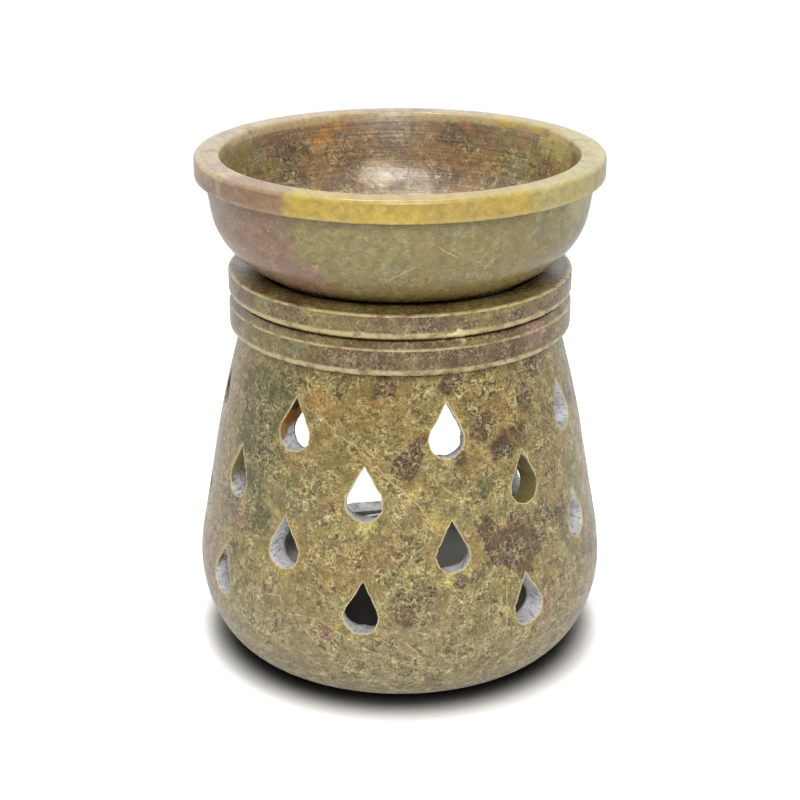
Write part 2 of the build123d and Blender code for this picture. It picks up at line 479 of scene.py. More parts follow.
@dataclass
class Outline:
    """A turned outline of (radius, height) points, laid down run by run.

    Each point keeps a mark, which is 1 on the small outer roundings that handling chips first and that are
    painted lighter, and -1 in crevices that get painted shade, and whether it lies on the inside.
    """

    spacing: float
    inside: float = 0.0
    points: list[Vector] = field(default_factory=list)
    wear: list[float] = field(default_factory=list)
    hidden: list[float] = field(default_factory=list)

    def add(self, place: Sequence[float], wear: float = 0.0) -> None:
        """Adds one point.

        Args:
            place: Its radius and height.
            wear: Its mark: 1 on outer roundings, which chip and are painted lighter; -1 in crevices, which
                get painted shade.
        """
        point = Vector(place)
        if not self.points or (point - self.points[-1]).length > self.spacing * MM:
            self.points.append(point)
            self.wear.append(wear)
            self.hidden.append(self.inside)

    def darken(self, middle: Sequence[float], reach: float) -> None:
        """Marks the points near a place for painted shade, darker the nearer they are.

        Args:
            middle: The radius and height of the place.
            reach: How far the darkness reaches.
        """
        for place, point in enumerate(self.points):
            depth = 1.5 * (1 - (point - Vector(middle)).length / reach)
            if depth > 0:
                self.wear[place] = -min(depth, 1.0)

    def crevice(self) -> None:
        """Marks the last point, in a crevice, for painted shade."""
        self.wear[-1] = -1.0

    def run(self, end: Vector) -> None:
        """Adds a straight run to its end."""
        start = self.points[-1]
        steps = max(1, round((end - start).length / self.spacing))
        for step in range(1, steps + 1):
            self.add(start.lerp(end, step / steps))

    def lines(self, corners: Sequence[Corner]) -> None:
        """Adds straight runs through corners, each rounded but the last.

        Args:
            corners: The radius, height and rounding of each corner.
        """
        path = [self.points[-1], *(Vector(corner[:2]) for corner in corners)]
        for place, corner in enumerate(corners[:-1], 1):
            towards = (path[place + 1] - path[place]).normalized()
            back = (path[place - 1] - path[place]).normalized()
            half = back.angle(towards) / 2
            setback = corner[2] / math.tan(half)
            start, end = path[place] + back * setback, path[place] + towards * setback
            self.run(start)
            if corner[2]:
                centre = path[place] + (back + towards).normalized() * corner[2] / math.sin(half)
                self.arc(centre, start, end)
        self.run(path[-1])

    def arc(self, centre: Vector, start: Vector, end: Vector) -> None:
        """Adds a small rounding: an outer one chips and is painted lighter, an inner one gets painted shade.

        Args:
            centre: Its centre.
            start: Where it starts.
            end: Where it ends.
        """
        sweep = (start - centre).angle_signed(end - centre)
        steps = max(4, round(abs(sweep) * (start - centre).length / self.spacing * 2))
        for step in range(steps + 1):
            turned = Matrix.Rotation(-sweep * step / steps, 2) @ (start - centre)
            self.add(centre + turned, 1.0 if sweep < 0 else -1.0)

    def bend(self, centre: Sequence[float], reach: Sequence[float], start: float, end: float) -> None:
        """Adds part of an ellipse.

        Args:
            centre: Its centre.
            reach: Its half width and half height.
            start: The angle where it starts, in degrees from the radial direction.
            end: The angle where it ends.
        """
        sweep = math.radians(end - start)
        steps = round(abs(sweep) * sum(reach) / 2 / self.spacing)
        for step in range(1, steps + 1):
            turn = math.radians(start) + sweep * step / steps
            self.add((centre[0] + reach[0] * math.cos(turn), centre[1] + reach[1] * math.sin(turn)))

    def curve(self, through: Sequence[Sequence[float]], first: Point, last: Point) -> None:
        """Adds the smooth curve from the last point through others.

        Args:
            through: The points that it passes, and its end.
            first: The direction in which it sets out.
            last: The direction in which it arrives.
        """
        knots = [self.points[-1], *(Vector(point) for point in through)]
        lengths = [(after - before).length for before, after in zip(knots, knots[1:])]
        slopes = solve_slopes(knots, lengths, Vector(first).normalized(), Vector(last).normalized())
        for place, length in enumerate(lengths):
            steps = max(1, round(length / self.spacing))
            for step in range(1, steps + 1):
                share = step / steps
                rest = 1 - share
                near = knots[place] * rest * rest * (1 + 2 * share)
                far = knots[place + 1] * share * share * (3 - 2 * share)
                pull = (slopes[place] * rest - slopes[place + 1] * share) * share * rest * length
                self.add(near + far + pull)

    def object(self, name: str) -> bpy.types.Object:
        """Makes the outline an object of points in the XZ plane."""
        places = [(point.x, 0.0, point.y) for point in self.points]
        return scratch_mesh(name, places, {"wear": self.wear, "inside": self.hidden})


def along(shares: Sequence[Point], start: Point, end: Point) -> list[Point]:
    """Gives the points at shares of the way across and up from start to end."""
    across, up = end[0] - start[0], end[1] - start[1]
    return [(start[0] + share[0] * across, start[1] + share[1] * up) for share in shares]


def inset(points: Sequence[Point], depth: float) -> list[Point]:
    """Gives a line's inner points, each moved to its left by depth, square to the way between its neighbours.

    Args:
        points: The points of the line.
        depth: How far they are moved.

    Returns:
        The moved points.
    """
    moved = []
    for before, point, after in zip(points, points[1:], points[2:]):
        way = (Vector(after) - Vector(before)).normalized()
        moved.append((point[0] - way.y * depth, point[1] + way.x * depth))
    return moved


def turning_tree() -> bpy.types.NodeTree:
    """Wires the tree that turns an outline about Z into a closed form, uneven and chipped where it wears.

    Returns:
        The tree.
    """
    numbers = ("Unevenness", "Uneven Size", "Chip Depth", "Chip Size", "Crease")
    graph = GrowthGraph("turned_form", {"Segments": int, **dict.fromkeys(numbers, float)})
    outline = graph.entry["Geometry"]
    rows = graph.count(outline)
    columns = graph.index("ADD", graph.entry["Segments"], 1)
    grid = graph.node("GeometryNodeMeshGrid", {"Vertices X": columns, "Vertices Y": rows}).outputs["Mesh"]
    index = graph.node("GeometryNodeInputIndex").outputs[0]
    row = graph.index("MODULO", index, rows)
    column = graph.index("DIVIDE_FLOOR", index, rows)
    spot = graph.parts(graph.read(outline, graph.position(), row, "FLOAT_VECTOR"))
    turn = graph.math("DIVIDE", graph.times(column, math.tau), graph.entry["Segments"])
    across, deep = (graph.times(spot["X"], graph.math(wave, turn)) for wave in ("COSINE", "SINE"))
    kept = graph.store(grid, "wear", graph.read(outline, graph.named("wear"), row))
    kept = graph.store(kept, "inside", graph.read(outline, graph.named("inside"), row))
    kept = graph.store(kept, "rim_distance", 1.0)
    form = graph.place(kept, graph.joined(across, deep, spot["Z"]))
    closed = graph.node("GeometryNodeMergeByDistance", {"Geometry": form, "Distance": WELD}).outputs[0]

    def clouds(size: str, detail: float) -> Wire:
        """Gives cloudy noise of the size that a named input holds."""
        feeds = {"Scale": graph.math("DIVIDE", 1.0, graph.entry[size]), "Detail": detail}
        return graph.node("ShaderNodeTexNoise", {"Vector": graph.position(), **feeds}).outputs["Fac"]

    normal = graph.node("GeometryNodeInputNormal").outputs[0]
    sunk = graph.times(clouds("Uneven Size", 1.0), -1.0, graph.entry["Unevenness"])
    chips = graph.times(graph.ramp(clouds("Chip Size", 3.0), 0.52, 0.72), graph.entry["Chip Depth"])
    worn = graph.times(chips, graph.most(graph.named("wear"), 0.0))
    aged = graph.nudge(closed, graph.scaled(normal, graph.minus(sunk, worn)))
    return graph.finish(aged, graph.entry["Crease"])


@dataclass(frozen=True)
class Openings:
    """How the openings are cut: the depths of a cut, and how far a hand tool strays."""

    depth: float = 11.0 * MM
    overrun: float = 3.0 * MM
    inner_plane: float = 20.0 * MM
    outer_plane: float = 54.0 * MM
    ring_spacing: float = 0.45 * MM
    wobble: float = 0.26 * MM
    wobble_clouds: Clouds = Clouds(3.4 * MM, 1.0)
    flare: float = 0.3 * MM
    flare_depth: float = 0.8 * MM
    flare_clouds: Clouds = Clouds(1.3 * MM, 2.0, 0.6)
    grit: float = 0.16 * MM
    grit_clouds: Clouds = Clouds(1.1 * MM, 2.0, 0.7)
    broken_from: float = 1.2 * MM
    broken_to: float = 5.4 * MM
    crease: float = 36.0


def cutter_forms(graph: GrowthGraph, outline: Wire, marks: Wire, stone: Wire, cut: Openings) -> Wire:
    """Wires the closed forms that cut openings: an outline at each mark, carried along the mark's own radius.

    Args:
        graph: The tree being wired.
        outline: The points of the opening, anticlockwise in the XZ plane.
        marks: Points that carry the azimuth, height, lean, width and tallness of each opening, whether it is
            cut square to the stone's wall or level, and how far its sides broke out at the inner end.
        stone: The turned stone that is cut.
        cut: How the openings are cut.

    Returns:
        The cutting forms.
    """
    total = cut.depth + cut.overrun
    columns = graph.count(outline)
    rings = round(total / cut.ring_spacing)
    feeds = {"Vertices": columns, "Side Segments": rings, "Radius": 1.0, "Depth": 1.0}
    forms = graph.copies(marks, graph.node("GeometryNodeMeshCylinder", feeds).outputs["Mesh"])

    local = graph.parts(graph.position())
    turn = graph.math("ARCTAN2", local["Y"], local["X"])
    step = graph.math("ROUND", graph.math("DIVIDE", graph.times(turn, columns), math.tau))
    spot, after, before = (
        graph.read(
            outline,
            graph.position(),
            graph.math("FLOORED_MODULO", graph.plus(step, shift), columns),
            "FLOAT_VECTOR",
        )
        for shift in (0.0, 1.0, -1.0)
    )
    way = graph.parts(graph.vector("SUBTRACT", after, before))
    outward = graph.vector("NORMALIZE", graph.joined(way["Z"], 0.0, graph.times(way["X"], -1.0)))

    sine, cosine = (graph.math(wave, graph.named("azimuth")) for wave in ("SINE", "COSINE"))
    radial = graph.joined(sine, graph.times(cosine, -1.0))
    tangent = graph.joined(cosine, sine)

    def met(source: Wire, direction: Wire) -> Mapping[str, Wire]:
        """Finds where a ray meets the stone."""
        ray = {"Source Position": source, "Ray Direction": direction, "Ray Length": 4 * cut.outer_plane}
        return graph.node("GeometryNodeRaycast", {"Target Geometry": stone, **ray}).outputs

    level = graph.joined(0.0, 0.0, graph.named("height"))
    beyond = graph.vector("ADD", level, graph.scaled(radial, 2 * cut.outer_plane))
    centre = met(beyond, graph.scaled(radial, -1.0))
    outwards = graph.vector("NORMALIZE", graph.toward(graph.named("square"), radial, centre["Hit Normal"]))
    upwards = graph.vector("CROSS_PRODUCT", outwards, tangent)
    origin = graph.toward(graph.named("square"), level, centre["Hit Position"])

    def on_plane(flat: Wire) -> Wire:
        """Lays a place of the outline's plane on the mark's own plane.

        Args:
            flat: The place in the outline's plane.

        Returns:
            The place in space.
        """
        size = graph.joined(graph.named("width"), 1.0, graph.named("tallness"))
        feeds = {"Vector": graph.vector("MULTIPLY", flat, size), "Angle": graph.named("lean")}
        leaning = graph.parts(graph.node("ShaderNodeVectorRotate", feeds, rotation_type="Y_AXIS").outputs[0])
        offset = graph.vector("ADD", graph.scaled(tangent, leaning["X"]), graph.scaled(upwards, leaning["Z"]))
        return graph.vector("ADD", origin, offset)

    share = graph.plus(local["Z"], 0.5)
    below = graph.minus(cut.depth, graph.times(share, total))
    seen_at = graph.vector("ADD", on_plane(spot), graph.scaled(radial, cut.outer_plane))
    deep_at = graph.vector("ADD", seen_at, graph.scaled(radial, below))
    hand = graph.minus(graph.noise(seen_at, cut.wobble_clouds), 0.5)
    sugar = graph.minus(graph.noise(deep_at, cut.grit_clouds), 0.5)
    chips = graph.ramp(graph.noise(seen_at, cut.flare_clouds), 0.5, 0.72)
    lifted = graph.times(chips, graph.ramp(below, cut.flare_depth, 0.0))
    broken = graph.times(graph.ramp(below, cut.broken_from, cut.broken_to), graph.named("breakout"))
    stray = graph.plus(
        graph.times(hand, 2 * cut.wobble),
        graph.times(sugar, 2 * cut.grit),
        graph.times(lifted, cut.flare),
        graph.times(broken, graph.math("ABSOLUTE", graph.parts(outward)["X"])),
    )
    strayed = on_plane(graph.vector("ADD", spot, graph.scaled(outward, stray)))
    source = graph.vector("ADD", strayed, graph.scaled(outwards, 2 * cut.outer_plane))
    surface = met(source, graph.scaled(outwards, -1.0))["Hit Position"]
    outer_reach = graph.vector("DOT_PRODUCT", graph.vector("SUBTRACT", surface, strayed), outwards)
    base_reach = graph.vector("DOT_PRODUCT", graph.vector("SUBTRACT", origin, level), radial)
    outer_end = graph.minus(cut.outer_plane, base_reach)
    inner_end = graph.minus(cut.inner_plane, base_reach)
    kept = graph.between(graph.math("GREATER_THAN", share, 0.999), graph.minus(outer_reach, below), outer_end)
    reach = graph.between(graph.math("LESS_THAN", share, 0.001), kept, inner_end)
    return graph.place(forms, graph.vector("ADD", strayed, graph.scaled(outwards, reach)))


def piercing_tree(cut: Openings) -> bpy.types.NodeTree:
    """Wires the tree that cuts rows of openings and a door through a turned stone.

    It also keeps, on each point, how deep in a cut it lies and how far it is from the nearest opening.

    Args:
        cut: How the openings are cut.

    Returns:
        The tree.
    """
    pairs = (("Drop Outline", "Drop Marks"), ("Door Outline", "Door Mark"))
    graph = GrowthGraph("pierced_stone", {name: bpy.types.Object for pair in pairs for name in pair})
    stone = graph.entry["Geometry"]
    joined = graph.node("GeometryNodeJoinGeometry")
    for outline, marks in pairs:
        form = cutter_forms(graph, graph.object(outline), graph.object(marks), stone, cut)
        graph.tree.links.new(form, joined.inputs[0])
    cutters = joined.outputs[0]
    feeds = {"Mesh 1": stone, "Mesh 2": cutters}
    cutting = graph.node("GeometryNodeMeshBoolean", feeds, operation="DIFFERENCE", solver="MANIFOLD")
    pierced = cutting.outputs["Mesh"]
    nearest = graph.node("GeometryNodeSampleNearest", {"Geometry": stone}).outputs[0]
    for name in ("wear", "inside"):
        pierced = graph.store(pierced, name, graph.read(stone, graph.named(name), nearest))
    pierced = graph.store(pierced, "cut_depth", graph.distance(stone))
    pierced = graph.store(pierced, "rim_distance", graph.distance(cutters))
    return graph.finish(pierced, math.radians(cut.crease))


def wick_tree() -> bpy.types.NodeTree:
    """Wires the tree that plaits a wick: strands wound both ways, passing over and under one another.

    Returns:
        The tree.
    """
    numbers = ("Turns", "Length", "Lay Radius", "Strand Radius", "Weave")
    graph = GrowthGraph("plaited_wick", {"Strands": int, **dict.fromkeys(numbers, float)})
    strands, length = graph.entry["Strands"], graph.entry["Length"]
    feeds = {"Count": graph.index("MULTIPLY", strands, 2), "Offset": (0.0, 0.0, 0.0)}
    still = graph.node("GeometryNodeMeshLine", feeds).outputs[0]
    index = graph.node("GeometryNodeInputIndex").outputs[0]
    phase = graph.math("DIVIDE", graph.times(graph.index("MODULO", index, strands), math.tau), strands)
    hand = graph.minus(graph.times(graph.math("LESS_THAN", index, strands), 2.0), 1.0)
    marked = graph.store(graph.store(still, "phase", phase), "hand", hand)
    line = graph.node("GeometryNodeCurvePrimitiveLine", {"End": graph.joined(0.0, 0.0, length)}).outputs[0]
    fine = graph.node("GeometryNodeResampleCurve", {"Curve": line, "Count": 110}).outputs[0]
    curves = graph.copies(marked, fine)

    height = graph.parts(graph.position())["Z"]
    wound = graph.times(graph.math("DIVIDE", height, length), graph.times(graph.entry["Turns"], math.tau))
    turn = graph.plus(graph.times(wound, graph.named("hand")), graph.named("phase"))
    beat = graph.times(graph.math("SINE", graph.times(wound, strands)), graph.named("hand"))
    radius = graph.plus(graph.entry["Lay Radius"], graph.times(beat, graph.entry["Weave"]))
    across, deep = (graph.times(radius, graph.math(wave, turn)) for wave in ("COSINE", "SINE"))
    wrapped = graph.place(curves, graph.joined(across, deep, height))
    feeds = {"Resolution": 9, "Radius": graph.entry["Strand Radius"]}
    ring = graph.node("GeometryNodeCurvePrimitiveCircle", feeds)
    feeds = {"Curve": wrapped, "Profile Curve": ring.outputs["Curve"], "Fill Caps": True}
    tubes = graph.node("GeometryNodeCurveToMesh", feeds).outputs[0]
    return graph.finish(tubes, math.radians(60.0))


class Tone(Enum):
    """The colours that patches of the stone take, each with how ragged its patches are."""

    CREAM = (paint(238, 226, 170), 0.3)
    STRAW = (paint(190, 174, 82), 0.8)
    HONEY = (paint(168, 126, 58), 0.8)
    AMBER = (paint(184, 124, 34), 0.5)
    RUST = (paint(156, 98, 38), 0.8)
    UMBER = (paint(88, 58, 30), 0.6)
    PLUM = (paint(78, 48, 38), 0.6)
    ROSE = (paint(150, 114, 94), 0.5)
    BISQUE = (paint(190, 166, 132), 0.3)
    PEAR = (paint(190, 178, 112), 0.4)
    MOSS = (paint(90, 86, 40), 0.8)
    OLIVE = (paint(134, 116, 46), 0.8)
    LICHEN = (paint(130, 126, 82), 0.8)

    def __init__(self, colour: Colour, raggedness: float) -> None:
        """Keeps the tone's colour and raggedness."""
        self.colour = colour
        self.raggedness = raggedness


@dataclass(frozen=True)
class Patch:
    """A patch of colour in the stone: where its middle is, how far it reaches, and how strongly it shows."""

    azimuth: float
    height: float
    size: float
    strength: float


@dataclass(frozen=True)
class Vein:
    """A pale vein that shows as a line between two places on the stone."""

    start: Point
    end: Point
    width: float


@dataclass(frozen=True)
class Grounds:
    """Two colours that the stone's ground drifts between, over clouds of a size in millimetres."""

    first: Colour
    second: Colour
    clouds: float = 24.0


@dataclass(frozen=True)
class Band:
    """A colour that comes in between two heights in millimetres, and how strongly."""

    start: float
    end: float
    colour: Colour
    strength: float


@dataclass(frozen=True)
class Fibre:
    """A layer of wiggly fibres: their size in millimetres, and how wide they are in shares of the noise."""

    size: float
    width: float


@dataclass(frozen=True)
class Strewing:
    """Patches of a tone that lie anywhere: their size in millimetres, and the noise above which they show."""

    tone: Tone
    size: float
    least: float


def patches(*rows: tuple[float, float, float, float]) -> tuple[Patch, ...]:
    """Makes patches from rows of azimuth, height, size and strength."""
    return tuple(Patch(*row) for row in rows)


def vein(*course: Point, width: float = 0.13) -> list[Vein]:
    """Makes one vein that passes places, stretch by stretch."""
    return [Vein(start, end, width) for start, end in zip(course, course[1:])]


@dataclass(frozen=True)
class Soapstone:
    """A soapstone: its ground colours, the patches and veins in it, and how it was turned and polished."""

    name: str
    outer: Grounds
    accent: Colour
    inner: Grounds
    lip: Grounds
    lip_height: float
    bands: Sequence[Band]
    patches: Mapping[Tone, Sequence[Patch]]
    inner_patches: Mapping[Tone, Sequence[Patch]]
    strewing: float
    stains: Mapping[Tone, Sequence[Patch]]
    veins: Sequence[Vein]
    mottling: float
    fibres: float
    inner_fibres: float
    streaks: float
    edge_wear_and_highlight: float
    turning: float
    lathe_marks: float
    reach: Sequence[Point]
    inner_reach: Sequence[Point]

    def place(self, azimuth: float, height: float, inside: bool = False) -> Vector:
        """Finds a place on the stone.

        Args:
            azimuth: Its azimuth in degrees.
            height: Its height in millimetres.
            inside: Whether it is on the inner side.

        Returns:
            The place, in metres.
        """
        reach = self.inner_reach if inside else self.reach
        for (low, near), (high, far) in zip(reach, reach[1:]):
            if height <= high:
                break
        share = max(0.0, min(1.0, (height - low) / (high - low)))
        return around(azimuth, (near + share * (far - near)) * MM, height * MM)


class StonePainter(FinishGraph):
    """Paints a soapstone, layer over layer: most methods take the colour so far and give the next one."""

    UNSEEN_SIDE = around(160.0, 1.0, 0.0)
    STREWN = (
        Strewing(Tone.HONEY, 11.0, 0.56),
        Strewing(Tone.MOSS, 15.0, 0.56),
        Strewing(Tone.UMBER, 9.0, 0.59),
        Strewing(Tone.PLUM, 8.0, 0.64),
    )
    FIBRES = (Fibre(0.8, 0.056), Fibre(1.5, 0.04), Fibre(2.6, 0.02))
    FIBRE_COLOUR = paint(212, 198, 146)
    VEIN_COLOUR = paint(216, 190, 130)
    MOTTLE_TINT = paint(186, 166, 150)
    SPECK_COLOUR = paint(50, 36, 20)
    SPARK_COLOUR = paint(230, 214, 150)
    RIM_COLOUR = paint(230, 216, 164)
    WORN_AND_HIGHLIGHT_COLOUR = paint(228, 210, 152)
    PAINTED_SHADE_COLOUR = paint(30, 22, 15)
    RAW_COLOURS = (paint(250, 250, 251), paint(222, 220, 222))
    RAW_BED_COLOUR = paint(136, 134, 138)
    RAW_GRAIN_COLOUR = paint(94, 92, 94)
    GROUND_DRIFT = Drift(9.0 * MM, 2.6 * MM, 3.0)
    BAND_DRIFT = Drift(16.0 * MM, 7.0 * MM, 3.0)
    EDGE_DRIFTS = (Drift(7.0 * MM, 3.0 * MM), Drift(2.4 * MM, 1.0 * MM, 3.0))
    FINE_DRIFT = Drift(1.5 * MM, 0.5 * MM)
    VEIN_DRIFTS = (Drift(6.0 * MM, 0.9 * MM), Drift(1.4 * MM, 0.3 * MM))
    ACCENT = Clouds(10.0 * MM, 4.0, 0.55)
    GRANULES = Clouds(1.9 * MM, 4.0, 0.66)
    MOTTLE = Clouds(2.4 * MM, 4.0, 0.62)
    GRAIN = Clouds(0.6 * MM, 3.0, 0.75)
    FIBROUS_AREAS = Clouds(4.0 * MM, 3.0, 0.6)
    STREAKS = Clouds(1.6 * MM, 3.0, 0.6, 0.4)
    TURNED_RINGS = Clouds(0.5 * MM, 3.0, 0.7)
    SPECKS = Clouds(0.62 * MM, 2.0, 0.6)
    VEIN_BREAKS = Clouds(1.6 * MM)
    RAGGED_RIM = Clouds(1.0 * MM)
    HALO = Clouds(4.0 * MM)
    WEAR = Clouds(2.4 * MM, 3.0)
    RAW_CLOUDS = Clouds(5.0 * MM)
    RAW_BEDS = Clouds(1.1 * MM, 3.0, 0.7)
    RAW_GRAINS = Clouds(0.7 * MM, 3.0, 0.75)
    POLISH = Clouds(3.0 * MM, 3.0, 0.6)
    LATHE = Clouds(0.5 * MM, 3.0, 0.6)
    SUGAR = Clouds(0.45 * MM, 3.0, 0.75)
    LIP_BLEND = 0.3
    CUT_EDGE = (0.04 * MM, 0.4 * MM)
    UNSEEN_FADE = (-20.0 * MM, -8.0 * MM)
    VEIN_END = 0.8 * MM
    VEIN_DEPTH = (-9.0 * MM, -7.0 * MM)
    RIM_RAGGEDNESS = 0.5 * MM
    RIM_REACH = (0.52 * MM, 0.36 * MM)
    HALO_REACH = (2.4 * MM, 0.2 * MM)
    SUGAR_RELIEF = 0.3 * MM
    GRAIN_RELIEF = 0.012 * MM
    IOR = 1.54

    def __init__(self, stone: Soapstone) -> None:
        """Starts a stone's material, with the numbers that several layers read.

        Args:
            stone: The stone that is painted.
        """
        super().__init__(stone.name)
        self.stone = stone
        self.inside = self.number("inside")
        self.wear = self.number("wear")
        self.cut = self.ramp(self.number("cut_depth"), *self.CUT_EDGE)
        self.height = self.parts(self.at)["Z"]
        self.lip_ends = ((stone.lip_height - self.LIP_BLEND) * MM, (stone.lip_height + self.LIP_BLEND) * MM)
        self.loose = self.moved(self.at, *self.EDGE_DRIFTS)
        self.granules = self.minus(self.noise(self.at, self.GRANULES), 0.5)
        self.fine = self.moved(self.at, self.FINE_DRIFT)
        self.grain = self.noise(self.fine, self.GRAIN)

    def painted(self) -> bpy.types.Material:
        """Paints every layer in order.

        Returns:
            The material.
        """
        stone, outside = self.stone, self.minus(1.0, self.inside)
        colour = self.patched(self.ground(), stone.patches, outside)
        colour = self.patched(colour, stone.inner_patches, self.inside, True)
        colour = self.strewn(colour, outside)
        for layer in (self.mottled, self.fibrous, self.streaked, self.speckled, self.veined, self.handled):
            colour = layer(colour)
        raw = self.patched(self.raw(), stone.stains)
        return self.polished(self.blend(self.cut, colour, raw))

    def sided(self, outer: float, inner: float) -> Wire:
        """Gives one number on the outer side of the stone, and another on its inner side."""
        return self.span(self.inside, 0.0, 1.0, outer, inner)

    def varied(self, noise: Wire, reach: float, ends: Point = (0.3, 0.7)) -> Wire:
        """Gives a level that varies about one with a noise, by a reach either way."""
        return self.span(noise, *ends, 1 - reach, 1 + reach)

    def ground(self) -> Wire:
        """Gives the stone's ground: broad clouds of its colours.

        Returns:
            The colour.
        """
        stone = self.stone
        loose = self.moved(self.at, self.GROUND_DRIFT)

        def clouded(grounds: Grounds, offset: float, smear: float = 1.0) -> Wire:
            """Drifts between two colours, in clouds that may be smeared sideways."""
            shifted = self.mapped(loose, (smear, smear, 1.0), Location=(offset, 0.3 * offset, 0.0))
            clouds = self.noise(shifted, Clouds(grounds.clouds * MM, 4.0, 0.58))
            return self.blend(self.ramp(clouds, 0.43, 0.57), grounds.first, grounds.second)

        other = self.noise(self.vector("ADD", loose, (0.3, 0.1, 0.2)), self.ACCENT)
        accented = self.times(self.ramp(other, 0.52, 0.62), 0.8)
        colour = self.blend(accented, clouded(stone.outer, 0.0), stone.accent)
        wandering = self.parts(self.moved(self.at, self.BAND_DRIFT))["Z"]
        for band in stone.bands:
            share = self.span(wandering, band.start * MM, band.end * MM, 0.0, band.strength)
            colour = self.blend(share, colour, band.colour)
        colour = self.blend(self.ramp(self.height, *self.lip_ends), colour, clouded(stone.lip, 0.5, 0.4))
        return self.blend(self.inside, colour, clouded(stone.inner, 0.8))

    def patched(
        self, colour: Wire, coats: Mapping[Tone, Sequence[Patch]], share: Feed = 1.0, inside: bool = False
    ) -> Wire:
        """Lays patches over a colour, each with a ragged, granular edge.

        Args:
            colour: The colour so far.
            coats: The patches of each tone.
            share: How far the patches show at each place.
            inside: Whether the patches lie on the stone's inner side.

        Returns:
            The colour with the patches.
        """
        for tone, spots in coats.items():
            cover: Feed = 0.0
            for spot in spots:
                middle = self.stone.place(spot.azimuth, spot.height, inside)
                away = self.vector("DISTANCE", self.loose, middle)
                cover = self.most(cover, self.span(away, 0.0, spot.size * MM, 1.5 * spot.strength, 0.0))
            cover = self.math("MINIMUM", cover, 1.0)
            broken = self.plus(cover, self.times(self.granules, tone.raggedness))
            softness = 0.24 - 0.14 * tone.raggedness
            ragged = self.ramp(broken, 0.46 - softness, 0.46 + softness)
            shown = self.times(ragged, self.ramp(cover, 0.0, 0.3), 0.9, share)
            colour = self.blend(shown, colour, tone.colour)
        return colour

    def strewn(self, colour: Wire, share: Wire) -> Wire:
        """Strews patches over the side and the back, where no patch is placed singly.

        Args:
            colour: The colour so far.
            share: How far the patches show at each place.

        Returns:
            The colour with the patches.
        """
        loose = self.moved(self.at, self.EDGE_DRIFTS[1])
        behind = self.ramp(self.vector("DOT_PRODUCT", self.at, self.UNSEEN_SIDE), *self.UNSEEN_FADE)
        share = self.times(share, behind, self.stone.strewing)
        for turn, layer in enumerate(self.STREWN):
            shifted = self.vector("ADD", loose, (0.4 * turn, 0.1, 0.2 * turn))
            clouds = self.noise(shifted, Clouds(layer.size * MM, 4.0, 0.6))
            cover = self.ramp(clouds, layer.least, layer.least + 0.05)
            colour = self.blend(self.times(cover, share), colour, layer.tone.colour)
        return colour

    def mottled(self, colour: Wire) -> Wire:
        """Mottles the colour with browner and lighter spots.

        Args:
            colour: The colour so far.

        Returns:
            The next colour.
        """
        mottling = self.stone.mottling
        mottle = self.noise(self.fine, self.MOTTLE)
        brown = self.times(self.ramp(mottle, 0.5, 0.62), 0.42 * mottling)
        colour = self.blend(brown, colour, self.shade(colour, self.MOTTLE_TINT))
        return self.blend(self.ramp(mottle, 0.47, 0.36), colour, self.shade(colour, 1.0 + 0.2 * mottling))

    def fibrous(self, colour: Wire) -> Wire:
        """Draws wiggly pale fibres, each beside dark grains.

        Args:
            colour: The colour so far.

        Returns:
            The next colour.
        """
        areas = self.span(self.noise(self.at, self.FIBROUS_AREAS), 0.38, 0.6, 0.2, 1.0)
        smoother = self.span(self.height, *self.lip_ends, 1.0, 0.6)
        fibres = self.times(self.sided(self.stone.fibres, self.stone.inner_fibres), smoother)
        areas = self.times(areas, fibres)
        for layer in self.FIBRES:
            size, width = layer.size * MM, layer.width
            bent = self.moved(self.at, Drift(0.8 * size, 0.36 * size))
            wave = self.minus(self.noise(bent, Clouds(size, 2.0, 0.55, 0.6)), 0.5)
            dark = self.times(self.ramp(wave, -1.1 * width, -2.4 * width), 0.62, areas)
            colour = self.blend(dark, colour, self.shade(colour, 0.42))
            line = self.ramp(self.math("ABSOLUTE", wave), width, 0.5 * width)
            pale = self.blend(0.5, self.shade(colour, 1.65), self.FIBRE_COLOUR)
            colour = self.blend(self.times(line, areas, 0.8), colour, pale)
        return colour

    def streaked(self, colour: Wire) -> Wire:
        """Draws slanting streaks, and inside the stone the level lines of the turning.

        Args:
            colour: The colour so far.

        Returns:
            The next colour.
        """
        slanted = self.mapped(self.at, (1.0, 0.16, 1.0), Rotation=(0.5, 0.35, 0.6))
        streaks = self.noise(slanted, self.STREAKS)
        colour = self.shade(colour, self.varied(streaks, self.stone.streaks))
        rings = self.noise(self.mapped(self.at, (0.03, 0.03, 1.0)), self.TURNED_RINGS)
        turned = self.shade(colour, self.varied(rings, self.stone.turning))
        return self.blend(self.inside, colour, turned)

    def speckled(self, colour: Wire) -> Wire:
        """Grains the colour, and strews dark specks and pale sparks over it.

        Args:
            colour: The colour so far.

        Returns:
            The next colour.
        """
        mottling = self.stone.mottling
        colour = self.shade(colour, self.varied(self.grain, 0.3 * mottling, (0.32, 0.68)))
        specks = self.noise(self.vector("ADD", self.at, (0.7, 0.4, 0.1)), self.SPECKS)
        dark = self.times(self.ramp(specks, 0.63, 0.7), 0.6 * mottling)
        pale = self.times(self.ramp(specks, 0.35, 0.3), 0.6 * mottling)
        return self.blend(pale, self.blend(dark, colour, self.SPECK_COLOUR), self.SPARK_COLOUR)

